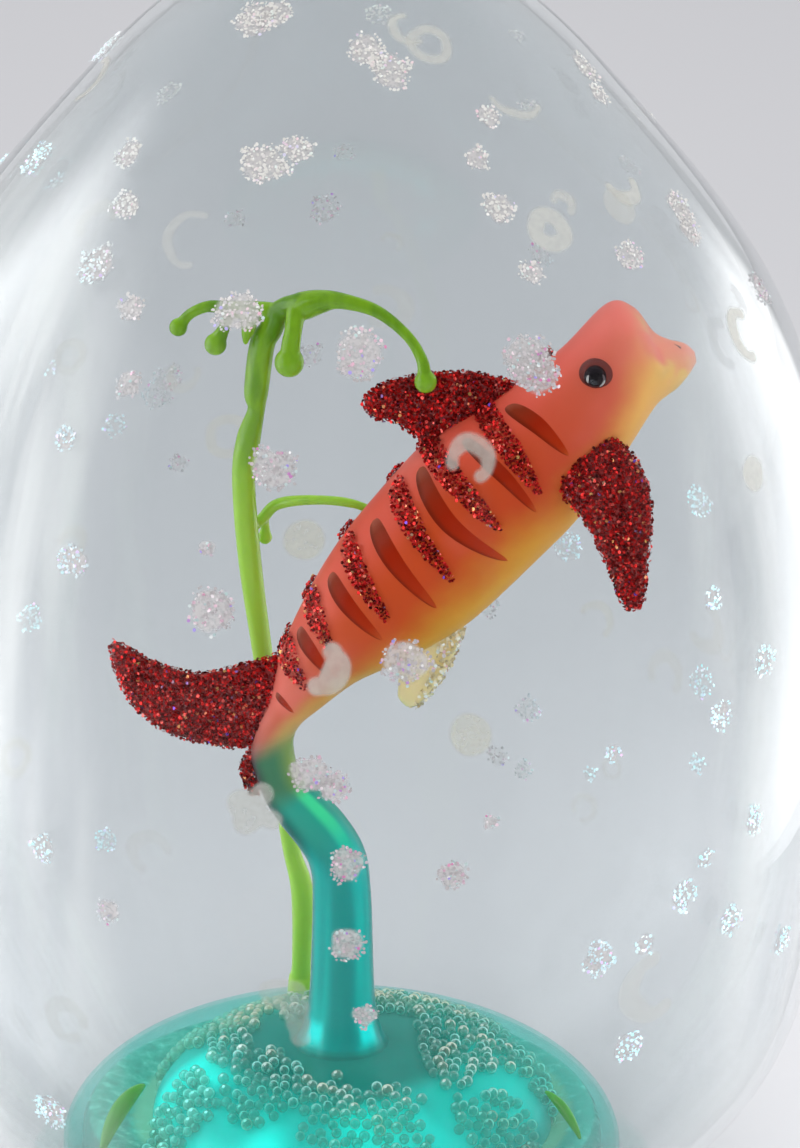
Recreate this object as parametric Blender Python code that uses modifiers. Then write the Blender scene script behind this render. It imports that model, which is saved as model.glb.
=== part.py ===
"""A mouth-blown glass ornament: a striped glass fish on a bent glass tube, with a glass plant,
standing on a dome inside a clear envelope with a metal cap.

Axes: +Z up, the fish's head towards +X, its right side towards -Y. The origin is at the middle
of the flat foot. Sizes below are in millimetres and become metres through MM.
"""
import math

import bmesh
import bpy
from mathutils import Vector

MM = 0.001
GAP = 0.3  # left between pieces that are fused on the real ornament

# Envelope: outer profile as (radius, height), from the foot up to the lip of the neck.
ENVELOPE_WALL = 1.2
ENVELOPE_PROFILE = [
    (29.6, 2.1),
    (38.6, 11.0),
    (46.8, 24.5),
    (50.2, 50.0),
    (48.9, 76.0),
    (41.5, 99.0),
    (24.5, 120.3),
    (10.6, 133.5),
    (8.0, 143.0),
]
ENVELOPE_STEPS = 2
ENVELOPE_TURNS = 32

# Foot ring and the pushed-in dome of the base.
FOOT_INNER = 25.4
FOOT_OUTER = 29.8
FOOT_HEIGHT = 1.8
FOOT_ROUNDING = 0.5
DOME_RADIUS = 28.9
DOME_RISE = 11.8
DOME_WIDEST = 6.2
DOME_SKIRT = [(27.6, FOOT_HEIGHT + GAP), (28.6, 4.0)]
DOME_WALL = 1.8
DOME_ARC_STEPS = 7
DOME_TOP = DOME_WIDEST + DOME_RISE

# Metal cap over the neck, and its wire loop.
CAP_WALL = 0.5
CAP_PROFILE = [
    (11.6, 134.4),
    (10.3, 136.2),
    (9.7, 138.0),
    (9.7, 144.4),
    (9.1, 145.2),
    (0.0, 145.6),
]
LOOP_WIRE = 0.6
LOOP_RADIUS = 3.5
LOOP_FOOT = 145.6 + GAP + 0.1
LOOP_STRAIGHT = 3.4

# Fish body: each row is the back's point (x, z), the belly's point (x, z) and half the
# thickness, from the narrow end at the tube to the tip of the snout.
BODY_ROWS = [
    (-9.6, 48.9, -5.2, 50.2, 2.30),
    (-8.9, 52.0, -4.5, 52.1, 2.15),
    (-7.7, 55.0, -2.4, 54.0, 2.50),
    (-6.5, 59.9, 1.2, 56.9, 3.50),
    (-4.5, 64.8, 5.3, 59.0, 4.60),
    (-1.7, 70.1, 9.8, 61.6, 5.40),
    (1.6, 74.8, 13.5, 64.4, 6.00),
    (7.6, 81.9, 19.8, 70.9, 6.30),
    (12.6, 85.6, 23.0, 74.5, 6.10),
    (17.2, 88.7, 25.5, 78.2, 5.80),
    (21.1, 91.9, 27.8, 81.8, 5.40),
    (25.3, 96.4, 30.3, 86.1, 4.80),
    (27.9, 96.1, 31.6, 87.4, 4.00),
    (29.9, 93.7, 32.4, 88.0, 3.00),
    (31.4, 92.9, 33.2, 88.9, 2.20),
    (33.1, 92.5, 33.8, 89.8, 1.50),
    (34.1, 91.7, 34.3, 90.7, 0.55),
]
BODY_SIDES = 16
BODY_STEPS = 2
# Row numbers between which each length of the body runs.
BODY_LENGTHS = [
    ("tail_stock", 0, 3),
    ("trunk_rear", 3, 6),
    ("trunk_front", 6, 9.5),
    ("head", 9.5, 16),
]
BODY_CUT = 0.25  # taken off each side of a cut, along the middle of the body
TUBE_END_ROWS = [
    (-8.0, 43.6, -3.9, 46.0, 2.45),
    (-9.1, 46.6, -4.8, 47.6, 2.35),
]

EYE_CENTRE = (24.4, 4.0, 90.6)
EYE_RADIUS = 1.65
EYE_SEGMENTS = 12
EYE_RINGS = 8

# Fins: each row is one edge's point, the other edge's point and half the thickness.
FIN_SIDES = 8
FIN_STEPS = 2
PECTORAL_RIGHT = [
    ((25.4, -3.4, 84.4), (22.9, -3.4, 83.2), 0.6),
    ((27.2, -5.4, 83.5), (21.3, -5.0, 80.4), 0.8),
    ((28.9, -7.2, 81.6), (21.4, -6.2, 78.6), 0.8),
    ((29.8, -8.6, 78.4), (23.1, -8.0, 77.1), 0.7),
    ((29.7, -9.4, 75.6), (24.6, -9.2, 74.9), 0.7),
    ((29.4, -10.0, 72.2), (26.0, -10.0, 72.0), 0.6),
    ((29.2, -10.2, 69.6), (27.0, -10.2, 69.5), 0.6),
    ((28.7, -10.2, 68.7), (27.7, -10.2, 68.5), 0.4),
]
PECTORAL_LEFT = [
    ((26.4, 3.2, 82.4), (22.2, 3.2, 80.4), 0.6),
    ((25.6, 5.6, 84.4), (20.6, 5.4, 81.2), 0.8),
    ((24.6, 8.0, 86.0), (19.6, 7.6, 82.6), 0.8),
    ((22.9, 10.2, 87.3), (18.9, 9.8, 84.4), 0.7),
    ((21.3, 11.8, 88.4), (18.8, 11.5, 86.6), 0.6),
    ((20.5, 12.4, 89.2), (19.6, 12.3, 88.6), 0.4),
]
DORSAL = [
    ((17.4, 0.0, 87.9), (17.2, 0.0, 87.0), 0.5),
    ((15.2, 0.0, 88.6), (15.0, 0.0, 84.6), 0.7),
    ((12.5, 0.0, 89.2), (12.3, 0.0, 82.6), 0.8),
    ((9.1, 0.0, 89.2), (9.0, 0.0, 81.0), 0.8),
    ((6.6, 0.0, 88.9), (6.6, 0.0, 82.9), 0.8),
    ((4.1, 0.0, 88.2), (4.5, 0.0, 84.3), 0.7),
    ((2.5, 0.0, 87.3), (2.8, 0.0, 84.5), 0.6),
    ((1.6, 0.0, 86.3), (1.8, 0.0, 85.4), 0.4),
]
ANAL = [
    ((12.4, 0.0, 66.0), (4.6, 0.0, 61.4), 0.8),
    ((11.7, 0.0, 62.1), (5.2, 0.0, 58.4), 0.9),
    ((10.3, 0.0, 58.3), (5.3, 0.0, 56.5), 0.9),
    ((8.5, 0.0, 55.6), (5.3, 0.0, 55.1), 0.8),
    ((7.3, 0.0, 54.3), (6.0, 0.0, 54.2), 0.5),
]
TAIL_UPPER = [
    ((-6.4, 0.0, 59.6), (-8.2, 0.0, 49.9), 0.7),
    ((-10.3, 0.0, 58.3), (-11.0, 0.0, 49.5), 0.8),
    ((-12.9, 0.0, 57.6), (-13.7, 0.0, 49.9), 0.8),
    ((-15.3, 0.0, 57.3), (-16.1, 0.0, 50.4), 0.8),
    ((-17.5, 0.0, 57.8), (-18.7, 0.0, 51.5), 0.7),
    ((-20.0, 0.0, 58.8), (-21.4, 0.0, 54.0), 0.7),
    ((-21.9, 0.0, 59.9), (-22.9, 0.0, 57.0), 0.6),
    ((-23.3, 0.0, 60.6), (-23.6, 0.0, 59.7), 0.4),
]
TAIL_LOWER = [
    ((-9.3, -0.8, 48.9), (-8.0, 1.6, 48.2), 0.5),
    ((-10.3, -0.5, 47.8), (-8.9, 3.6, 46.4), 0.6),
    ((-10.1, 0.5, 45.6), (-8.7, 5.6, 43.4), 0.6),
    ((-9.5, 2.0, 43.2), (-7.8, 6.8, 40.2), 0.6),
    ((-8.4, 4.0, 40.6), (-6.6, 7.2, 37.9), 0.5),
    ((-7.4, 5.6, 38.2), (-6.4, 7.0, 36.9), 0.4),
]

# Round glass: each row is (x, y, z, radius).
TUBE_SIDES = 12
TUBE_STEPS = 2
SUPPORT_TUBE = [
    (-0.1, 0.0, DOME_TOP + GAP + 0.1, 5.0),
    (-0.1, 0.0, 19.4, 4.3),
    (-0.1, 0.0, 21.4, 3.6),
    (-0.1, 0.0, 25.0, 3.3),
    (-0.2, 0.0, 33.6, 3.0),
    (-0.7, 0.0, 37.5, 2.95),
    (-2.3, 0.0, 40.4, 2.85),
    (-4.5, 0.0, 43.0, 2.65),
    (-6.1, 0.0, 45.7, 2.45),
    (-7.2, 0.0, 49.1, 2.3),
]
STEM_SIDES = 8
STEM_STEPS = 2
PLANT_STEM = [
    (-4.6, 16.0, 17.1, 1.4),
    (-4.6, 15.3, 19.2, 1.05),
    (-4.5, 12.0, 28.7, 1.2),
    (-5.8, 11.0, 34.7, 0.9),
    (-7.1, 9.5, 45.0, 1.0),
    (-8.6, 8.3, 56.5, 1.05),
    (-9.9, 7.0, 67.1, 1.2),
    (-10.5, 6.0, 75.9, 1.2),
    (-10.0, 5.0, 80.5, 1.25),
    (-9.2, 4.5, 83.8, 0.9),
    (-9.2, 4.2, 85.8, 1.25),
    (-8.6, 3.4, 90.9, 1.3),
    (-7.7, 3.2, 92.6, 1.15),
]
PLANT_ARCH = [
    (-6.2, 2.4, 95.2, 0.9),
    (-4.8, 1.6, 95.4, 1.45),
    (-3.0, 0.8, 96.1, 1.25),
    (-0.9, 0.0, 96.5, 0.85),
    (2.8, -1.3, 95.8, 0.65),
    (5.8, -2.2, 93.6, 0.55),
    (7.2, -2.5, 91.4, 0.6),
    (7.5, -2.6, 90.0, 0.7),
]
PLANT_LEFT = [
    (-7.4, 3.5, 94.4, 1.0),
    (-9.8, 3.6, 94.3, 1.05),
    (-12.0, 3.8, 94.5, 0.75),
    (-14.0, 4.0, 94.6, 0.6),
    (-15.7, 4.2, 93.8, 0.55),
    (-16.5, 4.3, 92.9, 0.6),
]
LEFT_DROP = [
    (-12.3, 2.6, 92.9, 0.5),
    (-12.8, 2.5, 91.9, 0.8),
]
SPUR = [
    (-9.9, 1.7, 93.1, 0.7),
    (-10.1, 1.5, 92.3, 0.5),
    (-10.2, 1.4, 91.6, 0.25),
]
CENTRE_DROP = [
    (-5.4, -0.2, 93.6, 0.9),
    (-5.6, -0.4, 92.4, 0.95),
    (-5.7, -0.5, 91.4, 1.0),
]
PLANT_LOWER = [
    (-8.5, 8.0, 71.4, 0.55),
    (-7.6, 7.6, 72.6, 0.6),
    (-6.4, 7.0, 73.3, 0.6),
    (-4.6, 6.2, 73.8, 0.55),
    (-2.4, 5.4, 74.1, 0.5),
    (-0.4, 4.9, 74.1, 0.5),
    (1.2, 4.7, 73.8, 0.45),
]
LOWER_DROP = [
    (-8.4, 8.7, 70.3, 0.45),
    (-8.4, 8.8, 69.4, 0.6),
]
ARCH_DROP_RADIUS = 1.15
LEFT_BALL_RADIUS = 0.95
LEFT_DROP_RADIUS = 1.15
CENTRE_DROP_RADIUS = 1.5
LOWER_DROP_RADIUS = 0.75
DROP_RINGS = 4

# Blades of green glass laid down the dome: start and end bearing and radius, and half width.
BLADE_SIDES = 8
BLADE_POINTS = 7
BLADES = [
    ("blade_left", 196.0, 21.0, 208.0, 27.4, 0.9),
    ("blade_right", 345.0, 20.6, 335.0, 25.6, 0.6),
]

PARTS = bpy.data.collections.new("glass_fish_ornament")
CUTTERS = bpy.data.collections.new("cutters")


def clear_scene():
    """Removes what the scene holds and links the two collections."""
    for thing in list(bpy.data.objects):
        bpy.data.objects.remove(thing, do_unlink=True)
    bpy.context.scene.collection.children.link(PARTS)
    bpy.context.scene.collection.children.link(CUTTERS)


def glass(name, colour, roughness, transmission=0.0, metallic=0.0):
    """A Principled material with plain values."""
    material = bpy.data.materials.new(name)
    material.use_nodes = True
    shader = material.node_tree.nodes["Principled BSDF"]
    shader.inputs["Base Color"].default_value = (*colour, 1.0)
    shader.inputs["Roughness"].default_value = roughness
    shader.inputs["Metallic"].default_value = metallic
    shader.inputs["Transmission Weight"].default_value = transmission
    material.diffuse_color = (*colour, 1.0)
    return material


def add_object(name, data, material, collection=PARTS):
    """Puts mesh or curve data in the scene under the given name."""
    thing = bpy.data.objects.new(name, data)
    if material is not None:
        data.materials.append(material)
    if isinstance(data, bpy.types.Mesh):
        data.shade_smooth()
    collection.objects.link(thing)
    if collection is CUTTERS:
        thing.display_type = "WIRE"
        thing.hide_render = True
    return thing


def smoothed(rows, steps):
    """Rows of numbers on a Catmull-Rom curve through the given rows."""
    padded = [rows[0], *rows, rows[-1]]
    out = []
    for before, start, end, after in zip(padded, padded[1:], padded[2:], padded[3:]):
        for step in range(steps):
            out.append(between(before, start, end, after, step / steps))
    out.append(tuple(rows[-1]))
    return out


def between(before, start, end, after, t):
    """One row of the Catmull-Rom curve, at t from start to end."""
    return tuple(
        0.5 * (2 * b + (c - a) * t + (2 * a - 5 * b + 4 * c - d) * t**2 + (3 * b - a - 3 * c + d) * t**3)
        for a, b, c, d in zip(before, start, end, after)
    )


def row_at(rows, place):
    """The row at a place along the curve, counted in rows."""
    first = min(int(place), len(rows) - 2)
    padded = [rows[0], *rows, rows[-1]]
    return between(*padded[first : first + 4], place - first)


def profile_mesh(name, points):
    """A chain of edges through (radius, height) points in the XZ plane."""
    mesh = bpy.data.meshes.new(name)
    vertices = [(radius * MM, 0.0, height * MM) for radius, height in points]
    edges = [(i, i + 1) for i in range(len(points) - 1)]
    mesh.from_pydata(vertices, edges, [])
    return mesh


def turned(name, points, material, turns, wall=None):
    """A profile turned about Z, with a wall put inside it, or closed if no wall is given."""
    outline = points if wall else [*points, points[0]]
    thing = add_object(name, profile_mesh(name, outline), material)
    screw = thing.modifiers.new("turn", "SCREW")
    screw.steps = turns
    screw.render_steps = turns
    screw.use_merge_vertices = True
    screw.merge_threshold = 0.00001
    screw.use_smooth_shade = True
    screw.use_normal_calculate = True
    if wall:
        shell = thing.modifiers.new("wall", "SOLIDIFY")
        shell.thickness = wall * MM
        shell.offset = -1.0
        shell.use_even_offset = True
    return thing


def ring_points(edge, other, half_thickness, forward, sides):
    """Points round one elliptical section between two edges."""
    middle = (edge + other) / 2
    half_width = (edge - other) / 2
    normal = half_width.cross(forward).normalized() * half_thickness
    angles = [2 * math.pi * k / sides for k in range(sides)]
    return [middle + half_width * math.cos(a) + normal * math.sin(a) for a in angles]


def loft(name, rows, sides, material, collection=PARTS):
    """A closed solid through sections, each given as edge, other edge and half thickness."""
    mesh = bpy.data.meshes.new(name)
    bm = bmesh.new()
    middles = [(edge + other) / 2 for edge, other, _ in rows]
    rings = []
    for i, (edge, other, half_thickness) in enumerate(rows):
        forward = middles[min(i + 1, len(rows) - 1)] - middles[max(i - 1, 0)]
        points = ring_points(edge, other, half_thickness, forward, sides)
        rings.append([bm.verts.new(point * MM) for point in points])
    for ring, following in zip(rings, rings[1:]):
        for k in range(sides):
            after = (k + 1) % sides
            bm.faces.new((ring[k], ring[after], following[after], following[k]))
    bm.faces.new(rings[0])
    bm.faces.new(rings[-1])
    bmesh.ops.recalc_face_normals(bm, faces=bm.faces)
    bm.to_mesh(mesh)
    bm.free()
    return add_object(name, mesh, material, collection)


def body_section(row, inflate=0.0):
    """Back edge, belly edge and half thickness of a body row, swollen by inflate."""
    back_x, back_z, belly_x, belly_z, half_thickness = row
    back = Vector((back_x, 0.0, back_z))
    belly = Vector((belly_x, 0.0, belly_z))
    outward = (back - belly).normalized() * inflate
    return back + outward, belly - outward, half_thickness + inflate


def row_spacing(place):
    """Distance along the middle of the body from one row to the next, at a place."""
    step = 0.25
    middles = [body_section(row_at(BODY_ROWS, place + shift)) for shift in (-step, step)]
    (back_0, belly_0, _), (back_1, belly_1, _) = middles
    return (back_1 + belly_1 - back_0 - belly_0).length / 2 / (2 * step)


def body_length(name, first, last, material):
    """One length of the fish's body between two places along BODY_ROWS."""
    start = first + (BODY_CUT / row_spacing(first) if first > 0 else 0.0)
    end = last - (BODY_CUT / row_spacing(last) if last < len(BODY_ROWS) - 1 else 0.0)
    count = max(2, round((end - start) * BODY_STEPS))
    places = [start + (end - start) * k / count for k in range(count + 1)]
    sections = [body_section(row_at(BODY_ROWS, place)) for place in places]
    return loft(name, sections, BODY_SIDES, material)


def body_clearance():
    """A slightly swollen body that cuts the roots of the fins."""
    rows = smoothed([*TUBE_END_ROWS, *BODY_ROWS], BODY_STEPS)
    sections = [body_section(row, GAP) for row in rows]
    return loft("body_clearance", sections, BODY_SIDES, None, CUTTERS)


def cut(thing, cutter):
    """Subtracts the cutter with an exact Boolean."""
    modifier = thing.modifiers.new("cut_" + cutter.name, "BOOLEAN")
    modifier.operation = "DIFFERENCE"
    modifier.solver = "EXACT"
    modifier.object = cutter


def fin(name, rows, material, cutter):
    """A fin whose root is cut to the body."""
    flat = [(*edge, *other, half_thickness) for edge, other, half_thickness in rows]
    sections = [(Vector(row[0:3]), Vector(row[3:6]), row[6]) for row in smoothed(flat, FIN_STEPS)]
    thing = loft(name, sections, FIN_SIDES, material)
    cut(thing, cutter)
    return thing


def ball(name, centre, radius, material, collection=PARTS):
    """A sphere made as a primitive."""
    bm = bmesh.new()
    bmesh.ops.create_uvsphere(bm, u_segments=EYE_SEGMENTS, v_segments=EYE_RINGS, radius=radius * MM)
    mesh = bpy.data.meshes.new(name)
    bm.to_mesh(mesh)
    bm.free()
    thing = add_object(name, mesh, material, collection)
    thing.location = Vector(centre) * MM
    return thing


def with_drop(rows, radius):
    """Rows that end in a round drop, continuing the way the last two rows go."""
    last = Vector(rows[-1][0:3])
    along = (last - Vector(rows[-2][0:3])).normalized()
    neck = rows[-1][3]
    reach = math.sqrt(max(radius**2 - neck**2, 0.0))
    start_angle = math.atan2(neck, -reach)
    out = list(rows)
    for k in range(1, DROP_RINGS + 1):
        angle = start_angle * (1 - k / (DROP_RINGS + 0.5))
        place = last + along * (reach + radius * math.cos(angle))
        out.append((*place, max(radius * math.sin(angle), 0.1)))
    return out


def glass_rod(name, rows, material, sides=STEM_SIDES):
    """A round rod along (x, y, z, radius) rows, as a bevelled curve with filled caps."""
    curve = bpy.data.curves.new(name, "CURVE")
    curve.dimensions = "3D"
    curve.bevel_depth = MM
    curve.bevel_resolution = sides // 2 - 2
    curve.use_fill_caps = True
    spline = curve.splines.new("POLY")
    spline.points.add(len(rows) - 1)
    for point, (x, y, z, radius) in zip(spline.points, rows):
        point.co = (x * MM, y * MM, z * MM, 1.0)
        point.radius = radius
    spline.use_smooth = True
    return add_object(name, curve, material)


def build_envelope(clear):
    """The clear envelope with its open neck, and the foot ring under it."""
    turned("envelope", smoothed(ENVELOPE_PROFILE, ENVELOPE_STEPS), clear, ENVELOPE_TURNS, ENVELOPE_WALL)
    r = FOOT_ROUNDING
    foot = [
        (FOOT_INNER + r, 0.0),
        (FOOT_OUTER - r, 0.0),
        (FOOT_OUTER, r),
        (FOOT_OUTER, FOOT_HEIGHT - r),
        (FOOT_OUTER - r, FOOT_HEIGHT),
        (FOOT_INNER + r, FOOT_HEIGHT),
        (FOOT_INNER, FOOT_HEIGHT - r),
        (FOOT_INNER, r),
    ]
    turned("foot_ring", foot, clear, ENVELOPE_TURNS)


def dome_height(radius):
    """Height of the dome's surface at a distance from its axis."""
    return DOME_WIDEST + DOME_RISE * math.sqrt(max(1 - (radius / DOME_RADIUS) ** 2, 0.0))


def build_dome(teal):
    """The pushed-in dome of the base."""
    quarter = math.pi / 2
    angles = [quarter * k / DOME_ARC_STEPS for k in range(DOME_ARC_STEPS + 1)]
    arc = [(DOME_RADIUS * math.cos(a), DOME_WIDEST + DOME_RISE * math.sin(a)) for a in angles[:-1]]
    profile = [*DOME_SKIRT, *arc, (0.0, DOME_TOP)]
    turned("base_dome", profile, teal, ENVELOPE_TURNS, DOME_WALL)


def build_blades(green):
    """Green blades that lie along the dome, tapering at both ends."""
    for name, bearing_0, radius_0, bearing_1, radius_1, half_width in BLADES:
        rows = []
        for k in range(BLADE_POINTS):
            t = k / (BLADE_POINTS - 1)
            bearing = math.radians(bearing_0 + (bearing_1 - bearing_0) * t)
            from_axis = radius_0 + (radius_1 - radius_0) * t
            rod = half_width * (0.35 + 0.65 * math.sin(math.pi * t))
            lift = dome_height(from_axis) + (rod + GAP) * 1.25
            rows.append((from_axis * math.cos(bearing), from_axis * math.sin(bearing), lift, rod))
        glass_rod(name, rows, green, BLADE_SIDES)


def build_fish(satin, red, yellow, black):
    """The fish: body lengths, eyes in their sockets, and fins cut to the body."""
    for name, first, last in BODY_LENGTHS:
        body_length(name, first, last, satin)
    x, y, z = EYE_CENTRE
    for side, sign in (("right", -1), ("left", 1)):
        ball("eye_" + side, (x, sign * y, z), EYE_RADIUS, black)
        socket = ball("socket_" + side, (x, sign * y, z), EYE_RADIUS + GAP, None, CUTTERS)
        cut(bpy.data.objects["head"], socket)
    clearance = body_clearance()
    fin("dorsal_fin", DORSAL, red, clearance)
    fin("pectoral_fin_right", PECTORAL_RIGHT, red, clearance)
    fin("pectoral_fin_left", PECTORAL_LEFT, red, clearance)
    fin("tail_fin_upper", TAIL_UPPER, red, clearance)
    fin("tail_fin_lower", TAIL_LOWER, red, clearance)
    fin("anal_fin", ANAL, yellow, clearance)


def build_plant(green):
    """The plant: a stem with knuckles, branches and drops."""
    glass_rod("plant_stem", smoothed(PLANT_STEM, STEM_STEPS), green)
    arch = with_drop(smoothed(PLANT_ARCH, STEM_STEPS), ARCH_DROP_RADIUS)
    glass_rod("plant_branch_arch", arch, green)
    left = with_drop(smoothed(PLANT_LEFT, STEM_STEPS), LEFT_BALL_RADIUS)
    glass_rod("plant_branch_left", left, green)
    glass_rod("plant_branch_lower", smoothed(PLANT_LOWER, STEM_STEPS), green)
    glass_rod("plant_drop_left", with_drop(LEFT_DROP, LEFT_DROP_RADIUS), green)
    glass_rod("plant_drop_centre", with_drop(CENTRE_DROP, CENTRE_DROP_RADIUS), green)
    glass_rod("plant_drop_lower", with_drop(LOWER_DROP, LOWER_DROP_RADIUS), green)
    glass_rod("plant_spur", SPUR, green)


def build_cap(metal):
    """The metal cap over the neck and its wire loop."""
    turned("cap", CAP_PROFILE, metal, ENVELOPE_TURNS, CAP_WALL)
    top = LOOP_FOOT + LOOP_STRAIGHT
    rows = [(-LOOP_RADIUS, 0.0, LOOP_FOOT, LOOP_WIRE)]
    for k in range(13):
        angle = math.pi * (1 - k / 12)
        place = (LOOP_RADIUS * math.cos(angle), 0.0, top + LOOP_RADIUS * math.sin(angle))
        rows.append((*place, LOOP_WIRE))
    rows.append((LOOP_RADIUS, 0.0, LOOP_FOOT, LOOP_WIRE))
    glass_rod("cap_loop", rows, metal)


def build():
    """Builds the whole ornament."""
    clear_scene()
    clear = glass("clear_glass", (0.90, 0.94, 0.95), 0.02, transmission=1.0)
    teal = glass("teal_glass", (0.02, 0.42, 0.42), 0.05)
    satin = glass("satin_glass", (0.85, 0.26, 0.12), 0.35)
    red = glass("red_glitter_glass", (0.45, 0.03, 0.03), 0.45)
    yellow = glass("yellow_glass", (0.75, 0.58, 0.20), 0.15)
    green = glass("green_glass", (0.28, 0.62, 0.06), 0.08)
    black = glass("black_glass", (0.02, 0.02, 0.03), 0.05)
    metal = glass("gold_metal", (0.83, 0.66, 0.32), 0.25, metallic=1.0)
    build_envelope(clear)
    build_dome(teal)
    build_blades(green)
    glass_rod("support_tube", smoothed(SUPPORT_TUBE, TUBE_STEPS), teal, TUBE_SIDES)
    build_fish(satin, red, yellow, black)
    build_plant(green)
    build_cap(metal)


build()
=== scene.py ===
"""Looks of a mouth-blown glass ornament: a striped glass fish on a bent tube and a glass plant,
standing on a beaded dome inside a clear envelope with painted marks and a metal cap.

Sizes are in millimetres and become metres through MM. +Z is up and the fish faces +X.
"""
import functools
import math
import random

import bmesh
import bpy
import numpy as np
from mathutils import Matrix, Vector


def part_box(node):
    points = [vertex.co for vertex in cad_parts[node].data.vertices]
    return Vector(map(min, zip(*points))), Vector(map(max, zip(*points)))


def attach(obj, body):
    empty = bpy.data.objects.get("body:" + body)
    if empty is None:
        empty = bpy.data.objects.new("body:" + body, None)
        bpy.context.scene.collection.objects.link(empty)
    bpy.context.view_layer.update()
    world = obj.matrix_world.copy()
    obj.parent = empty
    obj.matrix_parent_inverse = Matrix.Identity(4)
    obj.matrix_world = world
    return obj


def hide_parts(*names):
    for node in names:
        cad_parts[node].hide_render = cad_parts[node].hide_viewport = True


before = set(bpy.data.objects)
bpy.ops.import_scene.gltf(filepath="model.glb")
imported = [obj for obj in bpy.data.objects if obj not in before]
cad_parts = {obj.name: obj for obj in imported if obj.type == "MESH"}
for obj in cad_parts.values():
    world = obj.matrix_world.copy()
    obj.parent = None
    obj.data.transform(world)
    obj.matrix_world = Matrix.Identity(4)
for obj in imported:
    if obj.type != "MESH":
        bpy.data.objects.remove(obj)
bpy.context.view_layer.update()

MM = 0.001

# Envelope, from the foot up to the lip of the neck, as (radius, height) outside.
ENVELOPE_WALL = 1.2
ENVELOPE_OUTLINE = [
    (29.6, 2.1), (38.6, 11.0), (46.8, 24.5), (50.2, 50.0), (48.9, 76.0), (41.5, 99.0), (24.5, 120.3),
    (10.6, 133.5), (8.0, 143.0),
]
FOOT_OUTLINE = [(25.4, 1.5), (25.4, 0.5), (25.9, 0.05), (27.6, 0.0), (29.3, 0.05), (29.75, 0.5), (29.7, 1.4)]
NECK_LIP = [(7.9, 143.25), (7.4, 143.45), (6.95, 143.2)]
INNER_FOOT = (27.4, 2.2)
# Steps round the axis of what is turned about it.
TURNS = 128

# Dome: the tinted outer shell, and the inner bulge with its shoulder.
SHELL_RADIUS = 28.9
SHELL_RISE = 11.8
SHELL_WIDEST = 6.2
SHELL_WALL = 0.4
SHELL_LIP = [(27.9, 2.7), (28.5, 4.0)]
BULGE_CENTRE = (1.1, 0.6)
BULGE_RADIUS = 20.8
BULGE_RISE = 8.95
BULGE_WIDEST = 8.26
BULGE_FLATNESS = 0.72
BULGE_WALL = 0.9
BULGE_LIP = [(20.4, 6.4), (20.75, 7.2)]
SHOULDER = [
    (19.6, 8.7), (21.2, 8.5), (22.6, 8.8), (24.2, 9.5), (25.6, 9.8), (26.4, 9.2), (26.9, 7.6), (27.0, 3.0),
]
SHOULDER_WALL = (-0.8, -0.7)
SHOULDER_LEVEL = 8.6

# Rod of the tube as (x, z, radius), from its flare on the dome to the fish.
TUBE = [
    (-0.1, 14.2, 8.8), (-0.1, 15.0, 7.1), (-0.1, 16.0, 5.8), (-0.1, 17.3, 4.8), (-0.1, 19.0, 4.0),
    (-0.1, 21.4, 3.5), (-0.1, 25.0, 3.25), (-0.2, 33.6, 3.0), (-0.7, 37.5, 2.95), (-2.3, 40.4, 2.85),
    (-4.5, 43.0, 2.65),
]
# Columns round the skin, and rows to each given one.
SKIN_TURNS = 96
SKIN_STEPS = 9
# Fish: back point (x, z), belly point (x, z) and half the thickness, from the tube to the snout.
BODY = [
    (-9.6, 48.9, -5.2, 50.2, 2.30), (-8.9, 52.0, -4.5, 52.1, 2.15), (-7.7, 55.0, -2.4, 54.0, 2.50),
    (-6.5, 59.9, 1.2, 56.9, 3.50), (-4.5, 64.8, 5.3, 59.0, 4.60), (-1.7, 70.1, 9.8, 61.6, 5.40),
    (1.6, 74.8, 13.5, 64.4, 6.00), (7.6, 81.9, 19.8, 70.9, 6.30), (12.6, 85.6, 23.0, 74.5, 6.10),
    (17.2, 88.7, 25.5, 78.2, 5.80), (21.1, 91.9, 27.8, 81.8, 5.40), (25.3, 96.4, 30.3, 86.1, 4.80),
    (27.9, 96.1, 31.6, 87.4, 4.00), (29.9, 93.7, 32.4, 88.0, 3.00), (31.4, 92.9, 33.2, 88.9, 2.20),
    (33.1, 92.5, 33.8, 89.8, 1.50), (34.1, 91.7, 34.3, 90.7, 0.55),
]
BEND = [(-8.0, 43.6, -3.9, 46.0, 2.45), (-9.1, 46.6, -4.8, 47.6, 2.35)]

# Clear bars down the fish's side, where they run on the body as (row, degrees from the back), and
# half the width at the widest.
BARS = [
    ([(8.56, 27), (8.84, 62), (8.96, 97)], 0.92), ([(7.60, 32), (7.72, 78), (7.66, 113)], 0.76),
    ([(6.82, 26), (6.66, 76), (6.74, 128)], 1.02), ([(6.08, 27), (5.90, 68), (5.78, 114)], 1.02),
    ([(4.84, 26), (4.66, 64), (4.50, 106)], 0.95), ([(3.68, 27), (3.46, 63), (3.16, 100)], 0.85),
    ([(2.22, 34), (2.10, 62), (1.90, 92)], 0.38),
]
# Bars of glitter between them, in the same numbers.
GLITTER_BARS = [
    ([(8.16, -12), (8.14, 66), (8.00, 103)], 1.25), ([(7.10, -12), (7.06, 64), (7.00, 105)], 1.25),
    ([(6.54, 15), (6.38, 60), (6.24, 107)], 1.25), ([(5.60, 15), (5.26, 56), (4.90, 98)], 1.2),
    ([(4.36, 13), (4.10, 46), (3.80, 78)], 1.4), ([(3.30, 11), (3.02, 46), (2.66, 86)], 1.6),
]
# On the fish's left the glitter stripes start this many degrees nearer to the back.
FAR_STRIPE_LEAD = 12
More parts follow.
